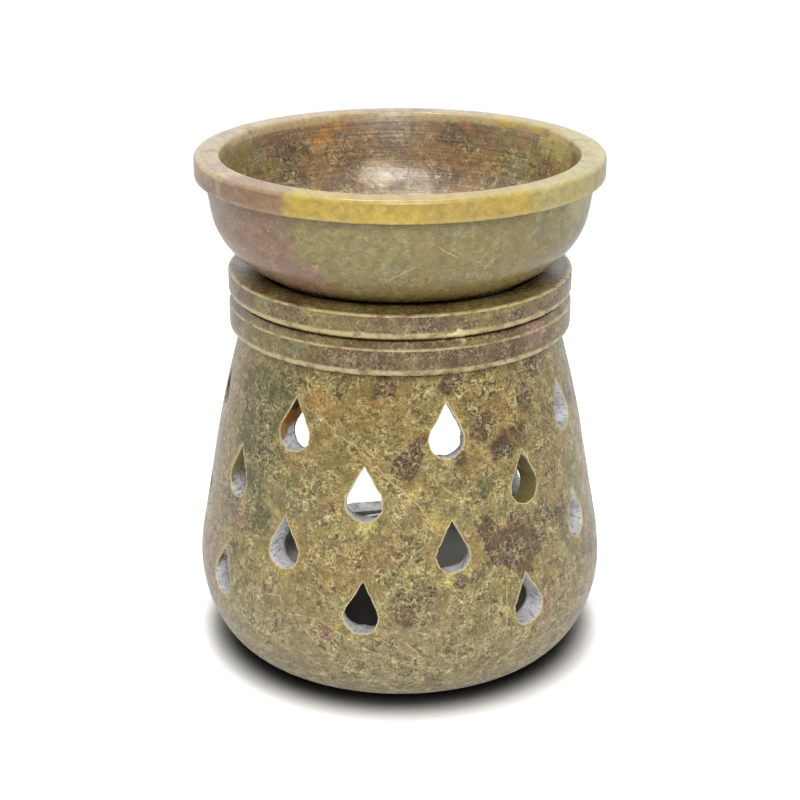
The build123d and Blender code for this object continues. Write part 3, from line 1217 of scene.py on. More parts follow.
    def veined(self, colour: Wire) -> Wire:
        """Draws the pale veins.

        Args:
            colour: The colour so far.

        Returns:
            The next colour.
        """
        wavy = self.moved(self.at, *self.VEIN_DRIFTS)
        breaks = self.ramp(self.noise(self.at, self.VEIN_BREAKS), 0.36, 0.52)
        cover: Feed = 0.0
        for line in self.stone.veins:
            start, end = self.stone.place(*line.start), self.stone.place(*line.end)
            middle, way = (start + end) / 2, (end - start).normalized()
            out = Vector((middle.x, middle.y, 0.0)).normalized()
            offset = self.vector("SUBTRACT", wavy, middle)
            aside, lengthwise, inward = (
                self.vector("DOT_PRODUCT", offset, axis) for axis in (way.cross(out).normalized(), way, out)
            )
            half = (end - start).length / 2
            thin = self.ramp(self.math("ABSOLUTE", aside), line.width * 1.6 * MM, line.width * 0.5 * MM)
            beyond, within = half + self.VEIN_END, half - self.VEIN_END
            ends = self.ramp(self.math("ABSOLUTE", lengthwise), beyond, within)
            cover = self.most(cover, self.times(thin, ends, self.ramp(inward, *self.VEIN_DEPTH)))
        strength = self.times(cover, self.span(breaks, 0.0, 1.0, 0.25, 1.0), 0.75)
        return self.blend(strength, colour, self.VEIN_COLOUR)

    def handled(self, colour: Wire) -> Wire:
        """Lightens worn edges, partly as a painted highlight, paints shade into crevices and tints the stone
        yellow round its openings.

        Args:
            colour: The colour so far.

        Returns:
            The next colour.
        """
        rim = self.number("rim_distance")
        ragged = self.plus(rim, self.times(self.noise(self.at, self.RAGGED_RIM), self.RIM_RAGGEDNESS))
        clouds = self.ramp(self.noise(self.at, self.HALO), 0.4, 0.7)
        halo = self.times(self.ramp(rim, *self.HALO_REACH), clouds, 0.45)
        colour = self.blend(halo, colour, Tone.STRAW.colour)
        edge = self.times(self.ramp(ragged, *self.RIM_REACH), 0.8)
        colour = self.blend(edge, colour, self.RIM_COLOUR)
        # Worn edges, lightened, and in part a painted highlight along the rounded edges of the rings and the
        # lip.
        patchy = self.span(self.noise(self.at, self.WEAR), 0.36, 0.54, 0.2, 0.85)
        worn = self.times(self.ramp(self.wear, 0.1, 0.9), patchy, self.stone.edge_wear_and_highlight)
        colour = self.blend(worn, colour, self.WORN_AND_HIGHLIGHT_COLOUR)
        # Painted shade: crevices, the groove and the seat of the bowl are painted near black.
        return self.blend(self.times(self.ramp(self.wear, -0.05, -0.9), 0.88), colour, self.PAINTED_SHADE_COLOUR)

    def raw(self) -> Wire:
        """Gives the colour of stone that is cut and left rough.

        Returns:
            The colour.
        """
        pale = self.blend(self.ramp(self.noise(self.at, self.RAW_CLOUDS), 0.4, 0.65), *self.RAW_COLOURS)
        beds = self.noise(self.mapped(self.at, (0.3, 0.3, 2.2)), self.RAW_BEDS)
        pale = self.blend(self.times(self.ramp(beds, 0.5, 0.66), 0.6), pale, self.RAW_BED_COLOUR)
        grains = self.ramp(self.noise(self.at, self.RAW_GRAINS), 0.56, 0.66)
        return self.blend(self.times(grains, 0.7), pale, self.RAW_GRAIN_COLOUR)

    def polished(self, colour: Wire) -> bpy.types.Material:
        """Gives the stone its polish and its fine relief.

        Args:
            colour: The finished colour.

        Returns:
            The material.
        """
        polish = self.span(self.noise(self.at, self.POLISH), 0.3, 0.7, 0.2, 0.36)
        dull = self.most(self.cut, self.ramp(self.wear, -0.05, -0.5))
        clean = self.minus(1.0, dull)
        lathe = self.noise(self.mapped(self.at, (0.04, 0.04, 1.0)), self.LATHE)
        marks = self.stone.lathe_marks * MM
        sugar = self.times(self.noise(self.at, self.SUGAR), self.cut, self.SUGAR_RELIEF)
        turned = self.plus(self.times(lathe, self.sided(0.25 * marks, marks)), sugar)
        feeds = {
            "Base Color": colour,
            "Roughness": self.between(dull, self.plus(polish, self.times(self.inside, 0.12)), 0.85),
            "IOR": self.IOR,
            "Specular IOR Level": self.times(clean, self.sided(0.5, 1.0)),
            "Coat Weight": self.times(clean, self.sided(0.25, 0.9)),
            "Coat Roughness": self.sided(0.2, 0.35),
        }
        return self.coat(self.plus(self.times(self.grain, self.GRAIN_RELIEF), turned), feeds)


BODY_STONE = Soapstone(
    name="soapstone_body",
    outer=Grounds(paint(142, 126, 68), paint(148, 122, 66), 11.0),
    accent=paint(138, 128, 78),
    inner=Grounds(paint(104, 100, 98), paint(84, 80, 78)),
    lip=Grounds(paint(132, 114, 62), paint(106, 76, 48), 9.0),
    lip_height=72.5,
    # The second band, paler towards the foot, is a painted reflection of the white floor on the lower belly.
    bands=(Band(46.0, 64.0, paint(138, 112, 56), 0.5), Band(30.0, 9.0, paint(157, 143, 108), 0.85)),
    patches={
        Tone.CREAM: patches((3.6, 79.4, 2.7, 2.2), (1.8, 79.2, 2.3, 2.0)),
        Tone.STRAW: patches(
            (-24.3, 42.0, 4.5, 0.58), (-47.7, 30.0, 4.5, 0.5), (-52.5, 42.4, 3.5, 0.43),
            (-11.9, 47.5, 6.0, 0.36), (-8.7, 49.3, 4.0, 0.4), (0.3, 31.0, 4.2, 0.5),
            (-29.3, 19.5, 4.0, 0.5), (23.0, 16.5, 3.4, 0.43), (-5.0, 44.0, 5.0, 0.43),
        ),
        Tone.HONEY: patches(
            (-45.6, 53.0, 5.0, 0.32), (-44.8, 49.0, 4.0, 0.29), (-32.7, 45.2, 5.0, 0.29),
            (12.0, 34.0, 6.0, 0.29), (-35.0, 58.0, 6.0, 0.36), (-40.0, 65.0, 6.0, 0.6),
            (-22.0, 66.0, 5.0, 0.5), (19.4, 64.0, 6.0, 0.43), (-20.0, 28.0, 5.0, 0.29),
        ),
        Tone.RUST: patches((-2.6, 53.4, 2.2, 0.4), (-49.0, 60.0, 2.6, 0.5), (-73.0, 24.0, 2.4, 0.5)),
        Tone.UMBER: patches(
            (-9.6, 58.0, 3.4, 1.2), (-13.4, 54.0, 3.4, 1.2), (-11.5, 56.0, 3.4, 1.2),
            (12.4, 61.0, 4.6, 0.9), (25.0, 57.7, 4.0, 0.8), (2.7, 55.5, 3.6, 0.8), (19.0, 55.0, 5.0, 0.7),
            (10.7, 39.6, 3.6, 1.2), (20.3, 38.6, 5.0, 1.2), (27.0, 34.3, 5.0, 1.1),
            (15.4, 35.6, 5.4, 1.2), (20.5, 31.6, 4.4, 1.0), (31.0, 40.0, 5.0, 0.8), (6.6, 31.7, 3.0, 0.7),
            (17.7, 19.5, 3.0, 0.8), (30.0, 64.0, 5.0, 0.6), (22.0, 75.5, 4.0, 0.8), (1.7, 77.0, 5.0, 0.7),
            (-5.6, 83.4, 4.0, 0.7), (26.0, 82.0, 5.0, 0.6), (-20.0, 69.5, 5.0, 0.6),
            (44.0, 60.0, 5.0, 0.6), (-68.0, 30.0, 4.0, 0.5), (-12.0, 25.5, 6.0, 0.7),
            (-6.0, 28.5, 4.0, 0.6), (36.0, 47.0, 4.0, 0.5),
        ),
        Tone.PLUM: patches(
            (2.8, 70.3, 3.4, 1.0), (18.1, 55.1, 3.0, 1.1), (17.9, 32.9, 3.0, 0.9), (38.9, 38.0, 4.4, 0.9),
            (2.2, 30.8, 2.6, 0.8), (27.0, 24.0, 5.0, 0.5), (36.0, 70.0, 6.0, 0.6),
        ),
        Tone.ROSE: patches(
            (29.5, 20.7, 5.5, 0.8), (-72.0, 40.0, 9.0, 0.8), (-80.0, 24.0, 12.0, 0.8),
            (-32.9, 18.0, 4.0, 0.6), (34.0, 78.0, 7.0, 0.6), (-68.0, 44.0, 4.0, 0.5),
        ),
        Tone.MOSS: patches(
            (-60.1, 39.5, 5.5, 1.0), (-63.3, 46.0, 7.0, 1.0), (-63.2, 56.8, 11.0, 1.1),
            (-68.0, 64.0, 9.0, 0.9), (-56.0, 66.0, 7.0, 0.8), (-74.0, 39.5, 6.0, 0.6),
            (11.9, 48.5, 6.0, 0.5),
        ),
        Tone.LICHEN: patches(
            (-64.0, 83.6, 3.6, 0.6), (-50.0, 77.0, 6.0, 0.5), (14.0, 49.5, 6.0, 0.35),
            (30.0, 50.0, 5.0, 0.35),
        ),
    },
    inner_patches={},
    strewing=0.85,
    stains={
        Tone.HONEY: patches((-52.0, 61.0, 6.6, 1.1)),
        Tone.RUST: patches((-53.0, 62.5, 5.6, 0.8), (-75.0, 23.5, 3.4, 0.8)),
        Tone.LICHEN: patches((-74.0, 47.0, 9.0, 0.9)),
        Tone.PLUM: patches(
            (-49.0, 64.0, 4.0, 1.2), (-24.0, 55.5, 2.6, 0.6), (-80.0, 27.0, 8.0, 0.7),
            (-96.0, 36.0, 7.0, 1.0), (-96.0, 58.5, 7.0, 1.0),
        ),
        Tone.OLIVE: patches((29.5, 46.5, 8.5, 1.2)),
    },
    veins=(
        *vein((-59.0, 24.0), (-48.3, 24.2), (-46.6, 21.2), (-36.6, 21.7), (-23.4, 16.3), (-3.4, 9.1)),
        *vein((-45.8, 64.2), (-34.6, 60.8), (-26.9, 57.6), (-18.6, 52.7), (-11.3, 48.5), (-2.4, 40.6)),
        *vein((-41.8, 33.1), (-33.8, 29.2)),
        *vein((-39.4, 28.4), (-30.5, 25.1)),
        *vein((-7.4, 42.7), (-4.1, 40.9)),
        *vein((-14.2, 18.5), (-8.6, 14.6)),
        *vein((15.9, 27.4), (14.8, 15.6)),
        *vein((-6.5, 53.0), (4.1, 46.7)),
    ),
    mottling=1.0,
    fibres=1.0,
    inner_fibres=0.3,
    streaks=0.06,
    edge_wear_and_highlight=0.85,
    turning=0.1,
    lathe_marks=0.02,
    reach=(
        (0.0, 32.5), (2.0, 38.0), (5.0, 41.2), (9.0, 43.2), (14.0, 44.4), (19.5, 44.8), (28.0, 43.8),
        (38.0, 41.9), (50.0, 39.8), (62.0, 37.1), (72.5, 34.4), (72.6, 36.7), (85.4, 36.7),
    ),
    inner_reach=((4.0, 30.0), (85.4, 28.0)),
)

BOWL_STONE = Soapstone(
    name="soapstone_bowl",
    outer=Grounds(paint(150, 136, 84), paint(146, 130, 80)),
    accent=paint(138, 134, 98),
    inner=Grounds(paint(150, 112, 64), paint(118, 86, 52), 12.0),
    lip=Grounds(paint(204, 176, 68), paint(190, 160, 74), 16.0),
    lip_height=105.2,
    bands=(Band(100.0, 90.0, paint(140, 118, 74), 0.5),),
    patches={
        Tone.BISQUE: patches(
            (-76.0, 108.5, 13.0, 1.1), (-100.0, 109.0, 15.0, 1.1), (-128.0, 110.0, 17.0, 1.1),
            (-158.0, 110.0, 17.0, 1.1), (174.0, 110.0, 17.0, 1.1), (146.0, 110.0, 16.0, 1.0),
        ),
        Tone.ROSE: patches(
            (-62.0, 95.0, 17.0, 1.1), (-80.0, 99.0, 16.0, 1.0), (-47.0, 91.0, 10.0, 0.9),
            (-60.0, 106.5, 14.0, 0.7), (-52.0, 106.5, 12.0, 0.62),
        ),
        Tone.PEAR: patches(
            (30.0, 108.5, 10.0, 0.7), (50.0, 108.5, 13.0, 1.0), (72.0, 109.0, 13.0, 1.1),
            (95.0, 109.0, 13.0, 1.0), (118.0, 109.5, 10.0, 0.9),
        ),
        Tone.LICHEN: patches((-15.6, 95.3, 5.0, 0.5)),
    },
    inner_patches={
        Tone.STRAW: patches((106.0, 107.0, 5.0, 0.8), (94.0, 107.0, 8.0, 0.9), (-108.0, 107.0, 5.0, 0.5)),
        Tone.AMBER: patches((-170.5, 108.0, 3.2, 1.5), (-166.0, 105.0, 3.0, 1.0)),
        # Painted highlight: pale patches on the inner back wall, where the front softbox's reflection falls,
        # make it brighter.
        Tone.BISQUE: patches((174.0, 97.0, 8.0, 0.6), (158.0, 95.0, 8.0, 0.55)),
        Tone.RUST: patches((142.0, 108.0, 3.0, 0.7)),
        Tone.UMBER: patches((-150.0, 103.5, 4.6, 1.0), (-152.0, 98.0, 5.5, 0.8), (146.0, 105.0, 6.0, 0.7)),
        Tone.OLIVE: patches(
            (-124.0, 104.5, 6.0, 1.0), (-112.0, 106.0, 6.0, 0.9), (125.0, 104.0, 6.0, 0.8),
            (112.0, 103.0, 6.0, 0.9), (-141.0, 99.0, 5.0, 0.7),
        ),
        Tone.LICHEN: patches((-137.0, 103.5, 4.2, 1.0), (118.0, 99.5, 6.0, 0.9), (138.0, 103.0, 3.0, 0.7)),
    },
    strewing=0.4,
    stains={},
    veins=(*vein((-6.0, 101.0), (2.0, 97.5), width=0.1), *vein((-20.0, 92.0), (-10.0, 96.0), width=0.1)),
    mottling=0.22,
    fibres=0.3,
    inner_fibres=0.85,
    streaks=0.2,
    edge_wear_and_highlight=0.25,
    turning=0.36,
    lathe_marks=0.09,
    reach=(
        (82.2, 18.0), (85.4, 28.6), (91.5, 36.5), (96.1, 39.1), (100.5, 40.1), (105.2, 40.8), (105.3, 43.0),
        (110.0, 43.0),
    ),
    inner_reach=((86.0, 10.0), (90.0, 25.0), (95.0, 32.0), (100.0, 35.3), (105.0, 36.6), (110.0, 37.8)),
)


@dataclass(frozen=True)
class Surface:
    """How evenly a form is turned: its segments, its hollows and the chips on its edges."""

    segments: int = 320
    unevenness: float = 0.1 * MM
    uneven_size: float = 22.0 * MM
    chip_depth: float = 0.22 * MM
    chip_size: float = 1.8 * MM
    crease: float = 34.0


class Turner:
    """Turns outlines into finished pieces, all with one tree."""

    def __init__(self) -> None:
        """Wires the tree."""
        self.tree = turning_tree()

    def turn(
        self, name: str, outline: Outline, surface: Surface, finish: bpy.types.Material
    ) -> bpy.types.Object:
        """Turns one outline about Z.

        Args:
            name: The piece's name.
            outline: Its outline.
            surface: How evenly it is turned.
            finish: Its material.

        Returns:
            The piece.
        """
        piece = outline.object(name)
        inputs = {
            "Segments": surface.segments,
            "Unevenness": surface.unevenness,
            "Uneven Size": surface.uneven_size,
            "Chip Depth": surface.chip_depth,
            "Chip Size": surface.chip_size,
            "Crease": math.radians(surface.crease),
            "Finish": finish,
        }
        grow(piece, self.tree, inputs)
        return piece


def carried(piece: bpy.types.Object, node: str, body: str) -> bpy.types.Object:
    """Lets a piece stand for a solid: it moves with the solid's body, and the solid is hidden.

    Args:
        piece: The piece.
        node: The solid that it stands for.
        body: The body that it moves with.

    Returns:
        The piece.
    """
    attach(piece, body)
    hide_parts(node)
    LOG.info("%s: %d faces", piece.name, len(piece.data.polygons))
    return piece


@dataclass
class Body:
    """The pierced body of the burner: a belly, a neck with two rings, a mouth, rows of drops and a door."""

    belly_height: float = 19.5 * MM
    neck_radius: float = 34.4 * MM
    wall: float = 5.4 * MM
    foot_curve_width: float = 12.3 * MM
    floor_thickness: float = 4.5 * MM
    floor_curve_width: float = 7.4 * MM
    wall_line_shares: tuple[Point, ...] = ((0.90, 0.16), (0.72, 0.35), (0.52, 0.57), (0.26, 0.80))
    neck_slope_share: float = 0.24
    ring_projection: float = 2.3 * MM
    lower_ring_height: float = 5.5 * MM
    groove_slope_height: float = 1.6 * MM
    groove_width: float = 0.6 * MM
    groove_depth: float = 1.5 * MM
    upper_ring_height: float = 5.2 * MM
    ring_underside_rounding: float = 1.1 * MM
    ring_top_rounding: float = 0.5 * MM
    edge_rounding: float = 0.22 * MM
    mouth_land_width: float = 8.1 * MM
    mouth_rounding: float = 0.5 * MM
    seat_shade: float = 2.4 * MM
    collar_height: float = 9.0 * MM
    drop_radius: float = 3.6 * MM
    drop_tip: float = 7.6 * MM
    drop_centre: float = 2.0 * MM
    drop_points: int = 72
    drop_spacing_angle: float = 48.0
    drops_in_row: tuple[int, ...] = (7, 6, 5, 6)
    top_row_height: float = 60.2 * MM
    lowest_row_height: float = 23.9 * MM
    door_width: float = 49.0 * MM
    door_sill_height: float = 10.0 * MM
    door_top_height: float = 53.5 * MM
    door_corner_radius: float = 3.0 * MM
    broken_out: frozenset[tuple[int, int]] = frozenset({(0, 3), (1, 2), (2, 2), (3, 2)})
    breakout: float = 1.1 * MM
    usual_breakout: float = 0.1 * MM
    seed: int = 11
    free_stray: Point = (1.2, 0.8)
    lean_reach: float = 3.0
    width_range: Point = (0.96, 1.05)
    tallness_range: Point = (0.97, 1.03)
    plain_spacing: float = 2.6 * MM
    wall_spacing: float = 0.9 * MM
    ring_spacing: float = 0.7 * MM
    door_spacing: float = 0.8 * MM
    strays: Mapping[tuple[int, int], Point] = field(
        default_factory=lambda: {
            (0, 2): (-0.9, 0.2),
            (0, 3): (0.2, 1.0),
            (0, 4): (1.6, -0.5),
            (1, 1): (0.8, -1.6),
            (1, 2): (-0.6, 0.5),
            (1, 3): (1.3, 0.8),
            (2, 1): (-0.5, -0.1),
            (2, 2): (0.7, 1.6),
            (2, 3): (0.2, 0.1),
            (3, 1): (-0.9, 0.1),
            (3, 2): (-0.6, 1.2),
            (3, 3): (-1.1, -0.6),
        }
    )

    def outline(self) -> Outline:
        """Draws the body's outline, from the foot up the outside and down the inside.

        Returns:
            The outline.
        """
        _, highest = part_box("burner_body")
        top, belly = highest.z, highest.x
        ring = self.neck_radius + self.ring_projection
        upper_bottom = top - self.upper_ring_height
        groove_floor = upper_bottom - self.groove_width
        lower_top = groove_floor - self.groove_slope_height
        neck = lower_top - self.lower_ring_height
        foot = belly - self.foot_curve_width
        points = along(self.wall_line_shares, (self.neck_radius, self.belly_height), (belly, neck))
        outer = [(belly, self.belly_height), *points, (self.neck_radius, neck)]
        inner = inset(outer, self.wall)
        inner_neck = self.neck_radius - self.wall
        inner_belly = belly - self.wall
        floor_radius = inner_belly - self.floor_curve_width
        groove = ring - self.groove_depth
        mouth = ring - self.mouth_land_width

        line = Outline(self.plain_spacing)
        line.add((0.0, 0.0))
        line.run(Vector((foot, 0.0)))
        line.spacing = self.wall_spacing
        line.bend((foot, self.belly_height), (self.foot_curve_width, self.belly_height), 270, 360)
        line.curve(outer[1:], (0.0, 1.0), (-self.neck_slope_share, 1.0))
        # Painted shade where the neck meets the underside of the lower ring.
        line.crevice()
        line.spacing = self.ring_spacing
        edge = self.edge_rounding
        line.lines(
            [
                (ring, neck, self.ring_underside_rounding),
                (ring, lower_top, edge),
                (groove, groove_floor, edge),
                (groove, upper_bottom, edge / 2),
                (ring, upper_bottom, self.ring_underside_rounding),
                (ring, top, self.ring_top_rounding),
                (mouth, top, self.mouth_rounding),
                (mouth, top - 2 * self.mouth_rounding, 0.0),
            ]
        )
        # Painted shade on the mouth's land, where the bowl sits on it.
        line.darken((mouth, top), self.seat_shade)
        line.spacing = self.plain_spacing
        line.inside = 1.0
        line.lines([(mouth, top - self.collar_height, edge), (inner_neck, neck, 0.0)])
        inner = [*reversed(inner), (inner_belly, self.belly_height)]
        line.curve(inner, (self.neck_slope_share, -1.0), (0.0, -1.0))
        floor_rise = self.belly_height - self.floor_thickness
        line.bend((floor_radius, self.belly_height), (self.floor_curve_width, floor_rise), 360, 270)
        line.run(Vector((0.0, self.floor_thickness)))
        return line

    def drop_outline(self) -> bpy.types.Object:
        """Draws one drop round its round part's centre: straight sides that meet in a point.

        Returns:
            The points of the drop.
        """
        straight = math.acos(self.drop_radius / self.drop_tip)
        points = []
        for place in range(self.drop_points):
            turn = math.tau * place / self.drop_points
            from_tip = abs((turn - math.pi / 2 + math.pi) % math.tau - math.pi)
            radius = self.drop_radius / math.cos(max(straight - from_tip, 0.0))
            points.append((radius * math.cos(turn), 0.0, radius * math.sin(turn)))
        return scratch_mesh("drop_outline", points)

    def door_outline(self) -> bpy.types.Object:
        """Draws the door: straight jambs under a round arch.

        Returns:
            The points of the door.
        """
        half = self.door_width / 2
        spring = self.door_top_height - half
        line = Outline(self.door_spacing)
        line.add((0.0, self.door_sill_height))
        sill, corner = self.door_sill_height, self.door_corner_radius
        line.lines([(half, sill, corner), (half, spring, 0.0)])
        line.bend((0.0, spring), (half, half), 0, 180)
        line.lines([(-half, sill, corner), (0.0, sill, 0.0)])
        return scratch_mesh("door_outline", [(point.x, 0.0, point.y) for point in line.points[:-1]])

    def drop_marks(self) -> bpy.types.Object:
        """Sets out the rows of drops, each drop a little off its place, as a hand leaves it.

        Returns:
            One point for each drop, which carries its azimuth, height, lean, width and tallness.
        """
        chance = random.Random(self.seed)
        sideways, upwards = self.free_stray
        names = ("azimuth", "height", "lean", "width", "tallness", "square", "breakout")
        marks: dict[str, list[float]] = {name: [] for name in names}
        fall = (self.top_row_height - self.lowest_row_height) / (len(self.drops_in_row) - 1)
        for row, count in enumerate(self.drops_in_row):
            for place in range(count):
                angle = (place - (count - 1) / 2) * self.drop_spacing_angle
                free = (chance.uniform(-sideways, sideways), chance.uniform(-upwards, upwards))
                stray = self.strays.get((row, place), free)
                marks["azimuth"].append(math.radians(angle + stray[0]))
                marks["height"].append(self.top_row_height - row * fall - self.drop_centre + stray[1] * MM)
                marks["lean"].append(math.radians(chance.uniform(-self.lean_reach, self.lean_reach)))
                marks["width"].append(chance.uniform(*self.width_range))
                marks["tallness"].append(chance.uniform(*self.tallness_range))
                marks["square"].append(1.0)
                broken = (row, place) in self.broken_out
                marks["breakout"].append(self.breakout if broken else self.usual_breakout)
        return scratch_mesh("drop_marks", [(0.0, 0.0, 0.0)] * len(marks["azimuth"]), marks)

    def build(self, turner: Turner) -> bpy.types.Object:
        """Turns the body and cuts its openings.

        Args:
            turner: What turns the outline.

        Returns:
            The body.
        """
        finish = StonePainter(BODY_STONE).painted()
        piece = turner.turn("burner_stone", self.outline(), Surface(), finish)
        mark = {"azimuth": [math.pi], "width": [1.0], "tallness": [1.0]}
        mark.update({name: [0.0] for name in ("height", "lean", "square", "breakout")})
        guides = {
            "Drop Outline": self.drop_outline(),
            "Drop Marks": self.drop_marks(),
            "Door Outline": self.door_outline(),
            "Door Mark": scratch_mesh("door_mark", [(0.0, 0.0, 0.0)], mark),
        }
        bpy.context.view_layer.update()
        grow(piece, piercing_tree(Openings()), {**guides, "Finish": finish})
        for guide in guides.values():
            bpy.data.objects.remove(guide)
        return carried(piece, "burner_body", "burner")


@dataclass
class Bowl:
    """The oil bowl: a second turned stone with a thick lip."""

    base_radius: float = 18.0 * MM
    side_radius: float = 40.8 * MM
    seat: Point = (28.6 * MM, 85.3 * MM)
    seat_shade: float = 2.4 * MM
    side_shares: tuple[Point, ...] = ((0.66, 0.30), (0.87, 0.53), (0.95, 0.77))
    wall: float = 4.2 * MM
    lip_width: float = 5.2 * MM
    lip_height: float = 4.8 * MM
    outer_rounding: float = 1.0 * MM
    inner_rounding: float = 0.8 * MM
    underside_rounding: float = 0.6 * MM
    base_slope_share: float = 0.2
    side_slope_share: float = 0.1
    inside_slope_share: float = 0.25
    base_spacing: float = 2.0 * MM
    side_spacing: float = 0.8 * MM
    lip_spacing: float = 0.6 * MM

    def outline(self) -> Outline:
        """Draws the bowl's outline, from the base up the outside, over the lip and down the inside.

        Returns:
            The outline.
        """
        lowest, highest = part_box("oil_bowl")
        base, top, lip = lowest.z, highest.z, highest.x
        under = top - self.lip_height
        inner_lip = lip - self.lip_width
        points = along(self.side_shares, self.seat, (self.side_radius, under))
        outer = [(self.base_radius, base), self.seat, *points, (self.side_radius, under)]
        inner = inset(outer, self.wall)
        down = Vector((-self.inside_slope_share, -1.0)).normalized() * 1.6 * self.inner_rounding
        below_lip = (inner_lip + down.x, top + down.y)

        line = Outline(self.base_spacing)
        line.add((0.0, base))
        line.run(Vector((self.base_radius, base)))
        line.spacing = self.side_spacing
        line.curve(outer[1:], (1.0, self.base_slope_share), (self.side_slope_share, 1.0))
        # Painted shade round the seat and in the crevice under the lip.
        line.darken(self.seat, self.seat_shade)
        line.crevice()
        line.spacing = self.lip_spacing
        line.lines(
            [
                (lip, under, self.underside_rounding),
                (lip, top, self.outer_rounding),
                (inner_lip, top, self.inner_rounding),
                (*below_lip, 0.0),
            ]
        )
        line.spacing = self.side_spacing
        line.inside = 1.0
        line.curve([*reversed(inner), (0.0, base + self.wall)], (-self.inside_slope_share, -1.0), (-1.0, 0.0))
        return line

    def build(self, turner: Turner) -> bpy.types.Object:
        """Turns the bowl.

        Args:
            turner: What turns the outline.

        Returns:
            The bowl.
        """
        surface = Surface(segments=360, unevenness=0.04 * MM, chip_depth=0.1 * MM)
        piece = turner.turn("bowl_stone", self.outline(), surface, StonePainter(BOWL_STONE).painted())
        return carried(piece, "oil_bowl", "bowl")


@dataclass(frozen=True)
class Metal:
    """A thin rolled metal, with the fine streaks of the rollers."""

    name: str
    colour: Colour
    dull: float
    streak: float = 0.5 * MM
    smudges: Clouds = Clouds(5.0 * MM, 3.0)
    variation: float = 0.06
    smudging: float = 0.1
    relief: float = 0.01 * MM

    def material(self) -> bpy.types.Material:
        """Wires the metal's material.

        Returns:
            The material.
        """
        graph = FinishGraph(self.name)
        streaks = graph.noise(graph.mapped(graph.at, (0.05, 0.05, 1.0)), Clouds(self.streak, 3.0, 0.6))
        smudges = graph.span(graph.noise(graph.at, self.smudges), 0.4, 0.7, 0.0, self.smudging)
        streaky = graph.span(streaks, 0.3, 0.7, self.dull - self.variation, self.dull + self.variation)
        feeds = {"Base Color": self.colour, "Metallic": 1.0, "Roughness": graph.plus(streaky, smudges)}
        return graph.coat(graph.times(streaks, self.relief), feeds)


@dataclass(frozen=True)
class Wax:
    """Plain paraffin wax, a little clear, with a soft uneven top."""

    name: str = "candle_wax"
    colour: Colour = paint(236, 233, 222)
    milky_colour: Colour = paint(222, 219, 206)
    clouds: Clouds = Clouds(4.0 * MM, 3.0)
    relief: float = 0.05 * MM
    clear_depth: float = 1.5 * MM

    def material(self) -> bpy.types.Material:
        """Wires the wax's material.

        Returns:
            The material.
        """
        graph = FinishGraph(self.name)
        clouds = graph.noise(graph.at, self.clouds)
        feeds = {
            "Base Color": graph.blend(clouds, self.colour, self.milky_colour),
            "Roughness": 0.42,
            "Subsurface Weight": 0.6,
            "Subsurface Radius": (1.0, 0.9, 0.7),
            "Subsurface Scale": self.clear_depth,
        }
        return graph.coat(graph.times(clouds, self.relief), feeds)


@dataclass(frozen=True)
class Cotton:
    """Waxed cotton, spun from fine fibres."""

    name: str = "wick_cotton"
    colour: Colour = paint(226, 220, 202)
    shaded_colour: Colour = paint(188, 180, 158)
    fibres: Clouds = Clouds(0.12 * MM, 3.0, 0.7)
    relief: float = 0.04 * MM

    def material(self) -> bpy.types.Material:
        """Wires the cotton's material.

        Returns:
            The material.
        """
        graph = FinishGraph(self.name)
        fibres = graph.noise(graph.at, self.fibres)
        shaded = graph.blend(graph.ramp(fibres, 0.4, 0.7), self.colour, self.shaded_colour)
        feeds = {"Base Color": shaded, "Roughness": 0.7, "Sheen Weight": 0.2}
        return graph.coat(graph.times(fibres, self.relief), feeds)


